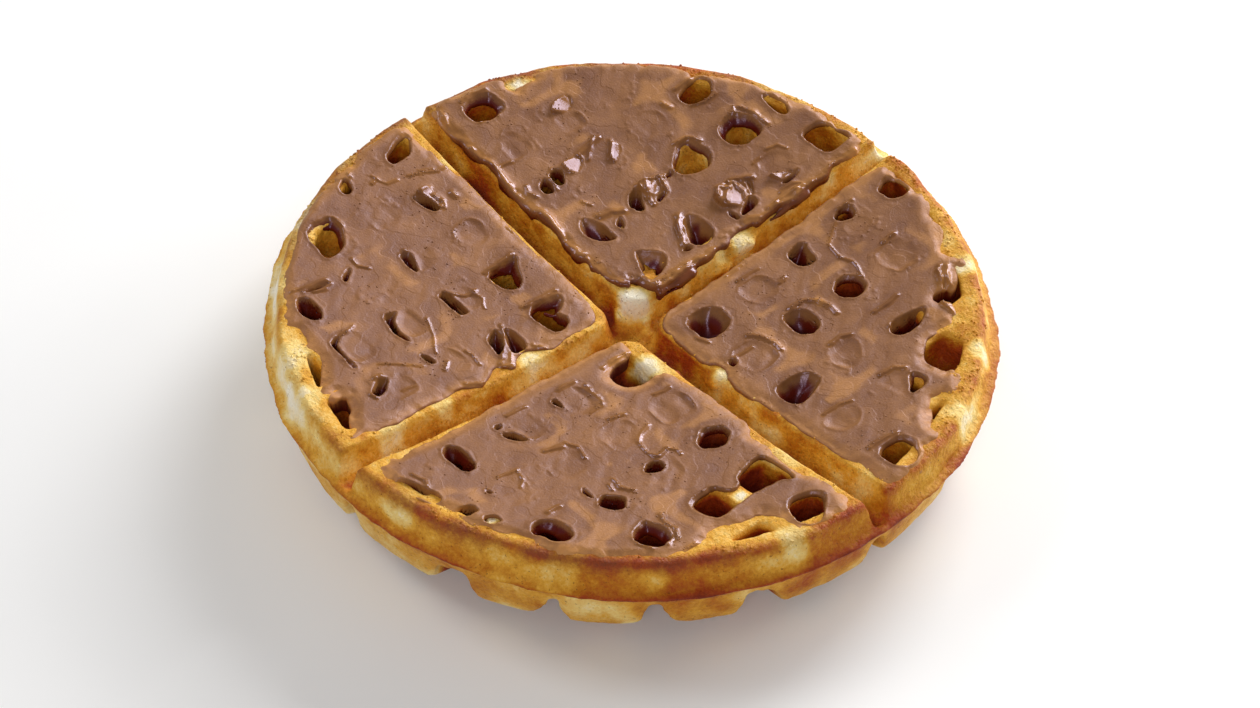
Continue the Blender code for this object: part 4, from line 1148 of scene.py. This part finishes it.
def mark_pockets(plan, quarter, xs, ys):
    """How far each point lies from a pocket's mouth. The spread ruffles there and hangs down inside."""
    sx, sy = QUARTERS[quarter]
    for column, rows in ROWS_IN_COLUMN.items():
        for row in range(1, rows + 1):
            px, py = sx * grid_place(column), sy * grid_place(row)
            part = window(xs, ys, [(px, py)], 8.0)
            u, v = xs[part[0], None] - px, ys[None, part[1]] - py
            plan["pocket"][part] = (np.abs(u) ** 4 + np.abs(v) ** 4) ** 0.25 - POCKET_MOUTH_HALF
    pocket = plan["pocket"]
    plan["height"] += 0.3 * plan["ruffle"] * np.exp(-((pocket - 0.2) ** 2) / 0.8)
    plan["bottom"] = np.where(pocket < 0.5, CORE_HEIGHT - 0.55 * POCKET_DEPTH, plan["bottom"])


def lay_plates(plan, quarter, xs, ys):
    """Smooth raised plates, which lean so that they mirror the window, and shallow dents with a fine bead."""
    for offset, corners in PLATES[quarter]:
        raised = offset > 0.0
        part = window(xs, ys, corners, 2.5)
        worn = plan["worn"][part]
        away = edge_distance(plan["jagged x"][part], plan["jagged y"][part], rounded(corners, 2))
        bead = 0.24 * worn * np.exp(-((away - 0.2) ** 2) / 0.1)
        level = offset * (0.35 + 0.65 * worn)
        if raised:
            middle = [sum(corner[i] for corner in corners) / len(corners) for i in (0, 1)]
            lean = LEAN[0] * (xs[part[0], None] - middle[0])
            level = offset + lean + LEAN[1] * (ys[None, part[1]] - middle[1])
        plan["height"][part] += level * ease(away, 0.1, -0.4 if raised else -1.6) + bead
        raise_to(plan["gloss"], part, ease(away, 0.3, -0.1) * (1.0 if raised else 0.1))
        raise_to(plan["gloss"], part, 0.7 * worn * ease(np.abs(away), 0.6, 0.2))


def sink_hollows(plan, quarter, xs, ys):
    """Where the spread falls into pockets: lined through, or torn open over the bare pocket."""
    for low_x, low_y, depth, bare, corners in HOLLOWS[quarter]:
        part = window(xs, ys, corners, 4.5)
        wobble = plan["wobble"][part]
        away = edge_distance(plan["jagged x"][part], plan["jagged y"][part], rounded(corners, 1))
        shift, deeper = (0.0, 1.0) if bare else (LINED_SHIFT, LINED_DEPTH)
        from_low_x = xs[part[0], None] - low_x - shift * NEAR_SIDE[0]
        from_low_y = ys[None, part[1]] - low_y - shift * NEAR_SIDE[1]
        to_low = np.hypot(from_low_x, from_low_y)
        aside = from_low_x * NEAR_SIDE[0] + from_low_y * NEAR_SIDE[1]
        share = to_low / (to_low + np.maximum(0.0, -away) + 0.01)
        toward = ease(aside / (to_low + 0.01), -0.3, 0.7)
        ribs = 1.0 + 0.16 * wobble * (1.0 - toward)
        fall = np.where(away < 0.0, depth * deeper * ribs * (1.0 - share ** (1.0 + 2.8 * toward)), 0.0)
        lip = 0.2 * np.exp(-((away - 0.3) ** 2) / 0.14) - 0.2 * ease(away, 0.3, -0.3)
        plan["height"][part] += lip - fall
        inside = away < (4.0 if bare else 0.9)
        floor = np.minimum(plan["height"][part] - SKIN_THICKNESS, SPREAD_SUNK)
        lined = inside & (plan["pocket"][part] < 0.9)
        plan["bottom"][part] = np.where(lined, floor, plan["bottom"][part])
        # Painted shade: the walls of a bare hollow are marked dark once they fall; in a lined hollow all but the
        # top of the far slope is marked dark, with a dark band along the rim on the side toward the viewer
        if bare:
            open_to = bare + (0.97 - bare) * 0.8 * toward
            raise_to(plan["cut"], part, np.where(away < 0.0, (open_to - share) * (to_low + 0.6), -9.0))
            shade = ease(fall, 0.1, 1.1)
        else:
            dark_to = 0.8 + 0.16 * toward
            shade = ease(share + 0.12 * wobble - dark_to, 0.1, -0.12) * ease(depth, 0.9, 1.8)
            shade = np.maximum(shade, 0.55 * toward * ease(np.abs(away), 0.5, 0.1))
        raise_to(plan["gloss"], part, 0.8 * ease(away, 0.6, 0.1) * ease(fall, 5.2, 3.2))
        raise_to(plan["hollow"], part, shade * ease(away, 0.1, -0.3))
        raise_to(plan["torn"], part, 0.5 * ease(np.abs(away), 1.8, 0.6))


def finish_edges(plan, quarter, xs, ys):
    """Lips along the grooves, worn thin edges elsewhere, and spread that droops over the rim."""
    seed = first_seed(quarter)
    x, y = xs[:, None], ys[None, :]
    rim, edge, height, sway = plan["rim"], plan["edge"], plan["height"], plan["sway"]
    lip = LIPS[quarter] * (1.0 - rim)
    frayed = ease(layered_bumps(x, y, 9.0, 3.0, seed + 9, 2), -0.3, 0.4)
    height += lip * (0.5 * sway * ease(edge, 3.4, 1.2) - 0.3 * ease(edge, 0.9, 0.0) ** 2)
    height -= (1.0 - rim) * (1.0 - lip) * (0.55 + 0.3 * frayed) * ease(edge, 3.6, 0.0)
    height -= rim * (0.9 + 0.7 * frayed) * ease(edge, 3.4, 0.0)
    plan["gloss"] = np.maximum(plan["gloss"], lip * ease(edge, 3.4, 1.6) * ease(sway, -0.3, 0.3))
    beside = ease(np.minimum(np.abs(x), np.abs(y)), 8.5, 6.5) * (1.0 - rim)
    patches = ease(layered_bumps(x, y, 5.0, 7.0, seed + 10, 2), -0.5, 0.5)
    plan["bottom"] -= DRAPES[quarter] * beside * patches * ease(edge, 2.0, 1.3)
    out = plan["radius"] - DROOP_RADIUS - 0.5 * around(x, y, RIM_OUT)
    droop = 0.4 * np.maximum(0.0, out) ** 1.5
    height -= droop
    lowest = CORE_HEIGHT - POCKET_DEPTH - 0.3
    plan["bottom"] = np.clip(plan["bottom"] - 1.3 * droop, lowest, None)
    plan["torn"] = np.maximum(plan["torn"], (0.3 + 1.2 * lip) * ease(edge, 4.0, 1.0))


def spread_field(quarter, xs, ys, zs):
    """Distance to one quarter's spread, negative inside it, with its plan maps."""
    plan = spread_plan(quarter, xs, ys)
    raise_folds(plan, quarter, xs, ys)
    mark_pockets(plan, quarter, xs, ys)
    lay_plates(plan, quarter, xs, ys)
    sink_hollows(plan, quarter, xs, ys)
    finish_edges(plan, quarter, xs, ys)
    x, y, z = xs[:, None, None], ys[None, :, None], zs[None, None, :]
    rough = layered_bumps(x, y, z, 2.2, first_seed(quarter) + 11, 2)
    top = zs - plan["height"][:, :, None] + 0.45 * plan["torn"][:, :, None] * rough
    field = smooth_max(top, (plan["bottom"][:, :, None] - zs), 0.4)
    field = smooth_max(field, -plan["edge"][:, :, None], 0.5)
    field = smooth_max(field, plan["cut"][:, :, None], 0.4)
    for half, rise, points in FOLDS[quarter]:
        part = window(xs, ys, points, half + 1.6)
        away = line_distance(plan["jagged x"][part], plan["jagged y"][part], points)
        if rise < HANGING:
            sway = plan["sway"][part]
            middle = SPREAD_LEVEL + 0.28 * plan["cloud"][part] + rise + 0.6 * sway
            wide = half * (0.65 + 0.3 * plan["wobble"][part] + 0.75 * sway)
            curl = np.sqrt(away[:, :, None] ** 2 + (zs - middle[:, :, None]) ** 2) - wide[:, :, None]
            field[part] = smooth_min(field[part], curl, 0.5)
        raise_to(plan["gloss"], part, ease(away, 2.0 * half, half))
    return field, {name: plan[name] for name in ("edge", "rim", "gloss", "hollow", "pocket", "height")}


def spread_values(mesh, quarter, xs, ys, maps):
    """How thin and how glossy the spread is at each point, and where it gets painted shade: in hollows, under
    hanging edges and along rolled edges.
    """
    points = points_of(mesh)
    x, y, z = points.T
    across = np.clip(np.rint((x - xs[0]) / SPREAD_STEP).astype(int), 0, len(xs) - 1)
    along = np.clip(np.rint((y - ys[0]) / SPREAD_STEP).astype(int), 0, len(ys) - 1)
    read = {name: values[across, along] for name, values in maps.items()}
    seed = 200 + 10 * list(QUARTERS).index(quarter)
    patch = ease(layered_bumps(x, y, 0.0, 9.0, seed, 3), 0.16, 0.42)
    beside = ease(np.minimum(np.abs(x), np.abs(y)), 10.0, 5.0)
    ridge = ease(read["pocket"], 0.8, 2.2)
    feathered = read["rim"] * ease(read["edge"], 5.0, 0.3)
    lip = LIPS[quarter]
    film = 0.8 * (1.0 - lip) * (1.0 - read["rim"]) * ease(read["edge"], 3.2, 0.2)
    thin = ridge * np.maximum(patch * 0.5, 0.3 * beside)
    give_values(mesh, "thin", np.maximum(thin, np.maximum(film, feathered * (0.7 + 0.5 * patch))))
    give_values(mesh, "gloss", read["gloss"])
    clusters = ease(bumps(x, y, 0.0, 7.0, seed + 3), 0.1, 0.5)
    flat = ease(normals_of(mesh)[:, 2], 0.75, 0.9) * ease(z, read["height"] - 0.9, read["height"] - 0.4)
    give_values(mesh, "beaded", flat * clusters * (0.1 + 0.9 * ease(read["gloss"], 0.2, 0.7)))
    # Painted shade: spread lying below its own top, such as hanging edges and drapes, is marked dark, and so are
    # the edges that roll over into the grooves
    underside_shade = ease(z, read["height"] - 0.35, read["height"] - 1.3)
    rolled_edge_shade = ease(read["edge"], 0.5 + 0.6 * lip, -0.1) * (0.5 + 0.2 * lip) * (1.0 - read["rim"])
    give_values(mesh, "fold", np.maximum(np.maximum(read["hollow"], underside_shade), rolled_edge_shade))


def make_spread(quarter, material):
    sx, sy = QUARTERS[quarter]
    reach = np.arange(*SPREAD_REACH, SPREAD_STEP, dtype=np.float32)
    xs = reach if sx > 0 else -reach[::-1]
    ys = reach if sy > 0 else -reach[::-1]
    zs = np.arange(*SPREAD_HEIGHTS, SPREAD_RISE, dtype=np.float32)
    field, maps = spread_field(quarter, xs, ys, zs)
    field[[0, -1]] = 1.0
    field[:, [0, -1]] = 1.0
    field[:, :, [0, -1]] = 1.0
    steps = (SPREAD_STEP, SPREAD_STEP, SPREAD_RISE)
    points, faces = skin(field.astype(np.float32), (xs[0], ys[0], zs[0]), steps)
    spread = modelled("Spread_" + quarter, points, faces)
    spread_values(spread.data, quarter, xs, ys, maps)
    settle(spread, material, "spread_" + quarter)
    return spread


def crumb_nodes():
    """Scatters small lumps over a surface, as thick as one of its values says."""
    tree = bpy.data.node_groups.new("Scattered lumps", "GeometryNodeTree")
    sockets = tree.interface
    for name, kind in (
        ("Surface", "NodeSocketGeometry"),
        ("Lumps a square metre", "NodeSocketFloat"),
        ("Where", "NodeSocketFloat"),
        ("Radius", "NodeSocketFloat"),
        ("Seed", "NodeSocketInt"),
        ("Material", "NodeSocketMaterial"),
    ):
        sockets.new_socket(name, in_out="INPUT", socket_type=kind)
    sockets.new_socket("Lumps", in_out="OUTPUT", socket_type="NodeSocketGeometry")
    given = add(tree, "NodeGroupInput").outputs
    density = math_node(tree, "MULTIPLY", given["Lumps a square metre"], given["Where"])
    points = add(
        tree,
        "GeometryNodeDistributePointsOnFaces",
        inputs={"Mesh": given["Surface"], "Density": density, "Seed": given["Seed"]},
    ).outputs["Points"]
    lump = add(tree, "GeometryNodeMeshIcoSphere", inputs={"Radius": given["Radius"], "Subdivisions": 1})
    sizes = add(tree, "FunctionNodeRandomValue", {"data_type": "FLOAT_VECTOR"}, {"Seed": given["Seed"]})
    sizes.inputs[0].default_value = (0.5, 0.5, 0.4)
    sizes.inputs[1].default_value = (1.4, 1.1, 1.0)
    turns = add(tree, "FunctionNodeRandomValue", {"data_type": "FLOAT_VECTOR"}, {"Seed": given["Seed"]})
    turns.inputs[0].default_value = (-0.4, -0.4, 0.0)
    turns.inputs[1].default_value = (0.4, 0.4, math.tau)
    placed = add(
        tree,
        "GeometryNodeInstanceOnPoints",
        inputs={
            "Points": points,
            "Instance": lump.outputs["Mesh"],
            "Scale": sizes.outputs[0],
            "Rotation": turns.outputs[0],
        },
    ).outputs["Instances"]
    real = add(tree, "GeometryNodeRealizeInstances", inputs={"Geometry": placed}).outputs["Geometry"]
    painted = add(
        tree, "GeometryNodeSetMaterial", inputs={"Geometry": real, "Material": given["Material"]}
    ).outputs["Geometry"]
    result = add(tree, "NodeGroupOutput")
    tree.links.new(painted, result.inputs["Lumps"])
    return tree


def scatter(tree, name, surface, where, each_square_mm, radius, seed):
    """Lumps on a finished piece, in its own material, where one of its values says."""
    host = bpy.data.objects.new(name, surface.data.copy())
    bpy.context.scene.collection.objects.link(host)
    lumps = host.modifiers.new("Lumps", "NODES")
    lumps.node_group = tree
    names = {item.name: item.identifier for item in tree.interface.items_tree if item.in_out == "INPUT"}
    lumps[names["Lumps a square metre"]] = each_square_mm / MM**2
    lumps[names["Where"] + "_use_attribute"] = True
    lumps[names["Where"] + "_attribute_name"] = where
    lumps[names["Radius"]] = radius * MM
    lumps[names["Seed"]] = seed
    lumps[names["Material"]] = surface.data.materials[0]
    graph = bpy.context.evaluated_depsgraph_get()
    mesh = bpy.data.meshes.new_from_object(host.evaluated_get(graph), depsgraph=graph)
    host.modifiers.clear()
    host.data = mesh
    mesh.name = name
    mesh.polygons.foreach_set("use_smooth", np.ones(len(mesh.polygons), dtype=bool))
    return host


def camera_axes():
    """The camera's right, up and backward directions."""
    azimuth, elevation = math.radians(CAMERA_AZIMUTH), math.radians(CAMERA_ELEVATION)
    back = Vector(
        (
            math.sin(azimuth) * math.cos(elevation),
            -math.cos(azimuth) * math.cos(elevation),
            math.sin(elevation),
        )
    )
    right = (-back).cross(Vector((0.0, 0.0, 1.0))).normalized()
    up = right.cross(-back)
    roll = math.radians(CAMERA_ROLL)
    turned_right = math.cos(roll) * right + math.sin(roll) * up
    turned_up = -math.sin(roll) * right + math.cos(roll) * up
    return turned_right, turned_up, back


def make_camera():
    right, up, back = camera_axes()
    lens = bpy.data.cameras.new("Camera")
    lens.sensor_width = SENSOR
    lens.lens = SENSOR * FOCAL_PIXELS / PHOTO_SIZE[0]
    lens.shift_x = (PHOTO_SIZE[0] / 2.0 - PHOTO_AIM[0]) / PHOTO_SIZE[0]
    lens.shift_y = (PHOTO_AIM[1] - PHOTO_SIZE[1] / 2.0) / PHOTO_SIZE[0]
    lens.clip_start = 0.01
    camera = bpy.data.objects.new("Camera", lens)
    turn = Matrix((right, up, back)).transposed().to_4x4()
    camera.matrix_world = Matrix.Translation(back * CAMERA_DISTANCE * MM) @ turn
    bpy.context.scene.collection.objects.link(camera)
    bpy.context.scene.camera = camera


def soft_light(name, place, size, power, colour):
    lamp = bpy.data.lights.new(name, "AREA")
    lamp.shape = "RECTANGLE"
    lamp.size, lamp.size_y = size
    lamp.energy = power
    lamp.color = linear(colour)[:3]
    light = bpy.data.objects.new(name, lamp)
    light.location = place
    light.rotation_euler = (-Vector(place)).to_track_quat("-Z", "Y").to_euler()
    bpy.context.scene.collection.objects.link(light)


def make_studio():
    """A pale floor and room, a high and a low window behind, and softer lights from the side and the front."""
    material, tree, shader = start_material("Pale studio floor")
    place = add(tree, "ShaderNodeTexCoord").outputs["Object"]
    mottle = noise(tree, place, 60.0, 2.0)
    tone = blend_colours(tree, mottle, linear("#f6f6f6"), linear("#fbfbfb"))
    tree.links.new(tone, shader.inputs["Base Color"])
    shader.inputs["Roughness"].default_value = 0.6
    half = 3.0
    points = [(-half, -half, 0.0), (half, -half, 0.0), (half, half, 0.0), (-half, half, 0.0)]
    mesh = bpy.data.meshes.new("Floor")
    mesh.from_pydata(points, [], [(0, 1, 2, 3)])
    mesh.materials.append(material)
    floor = bpy.data.objects.new("Floor", mesh)
    bpy.context.scene.collection.objects.link(floor)
    soft_light("Window", (-0.28, 0.9, 0.56), (0.55, 0.4), 8.5, "#ffffff")
    soft_light("Low window", (0.0, 1.1, 0.34), (0.9, 0.45), 11.0, "#ffffff")
    soft_light("Side", (-1.0, -0.5, 0.95), (0.5, 0.5), 5.0, "#ffffff")
    soft_light("Front", (0.9, -0.9, 1.05), (0.5, 0.5), 7.0, "#fffaf4")
    world = bpy.data.worlds.new("Room")
    world.use_nodes = True
    backdrop = world.node_tree.nodes["Background"]
    backdrop.inputs["Color"].default_value = linear("#f4f4f6")
    backdrop.inputs["Strength"].default_value = 0.28
    bpy.context.scene.world = world


def main():
    make_camera()
    make_studio()
    lump_tree = crumb_nodes()
    waffle = make_waffle(baked_crust())
    keep(scatter(lump_tree, "Crumbs", waffle, "crumbly", 0.3, 0.42, 3), "waffle")
    chocolate = chocolate_spread()
    for number, quarter in enumerate(QUARTERS):
        spread = make_spread(quarter, chocolate)
        beads = scatter(lump_tree, "Beads_" + quarter, spread, "beaded", 0.9, 0.26, 11 + number)
        keep(beads, "spread_" + quarter)
    bpy.context.scene.view_settings.view_transform = "Standard"


main()
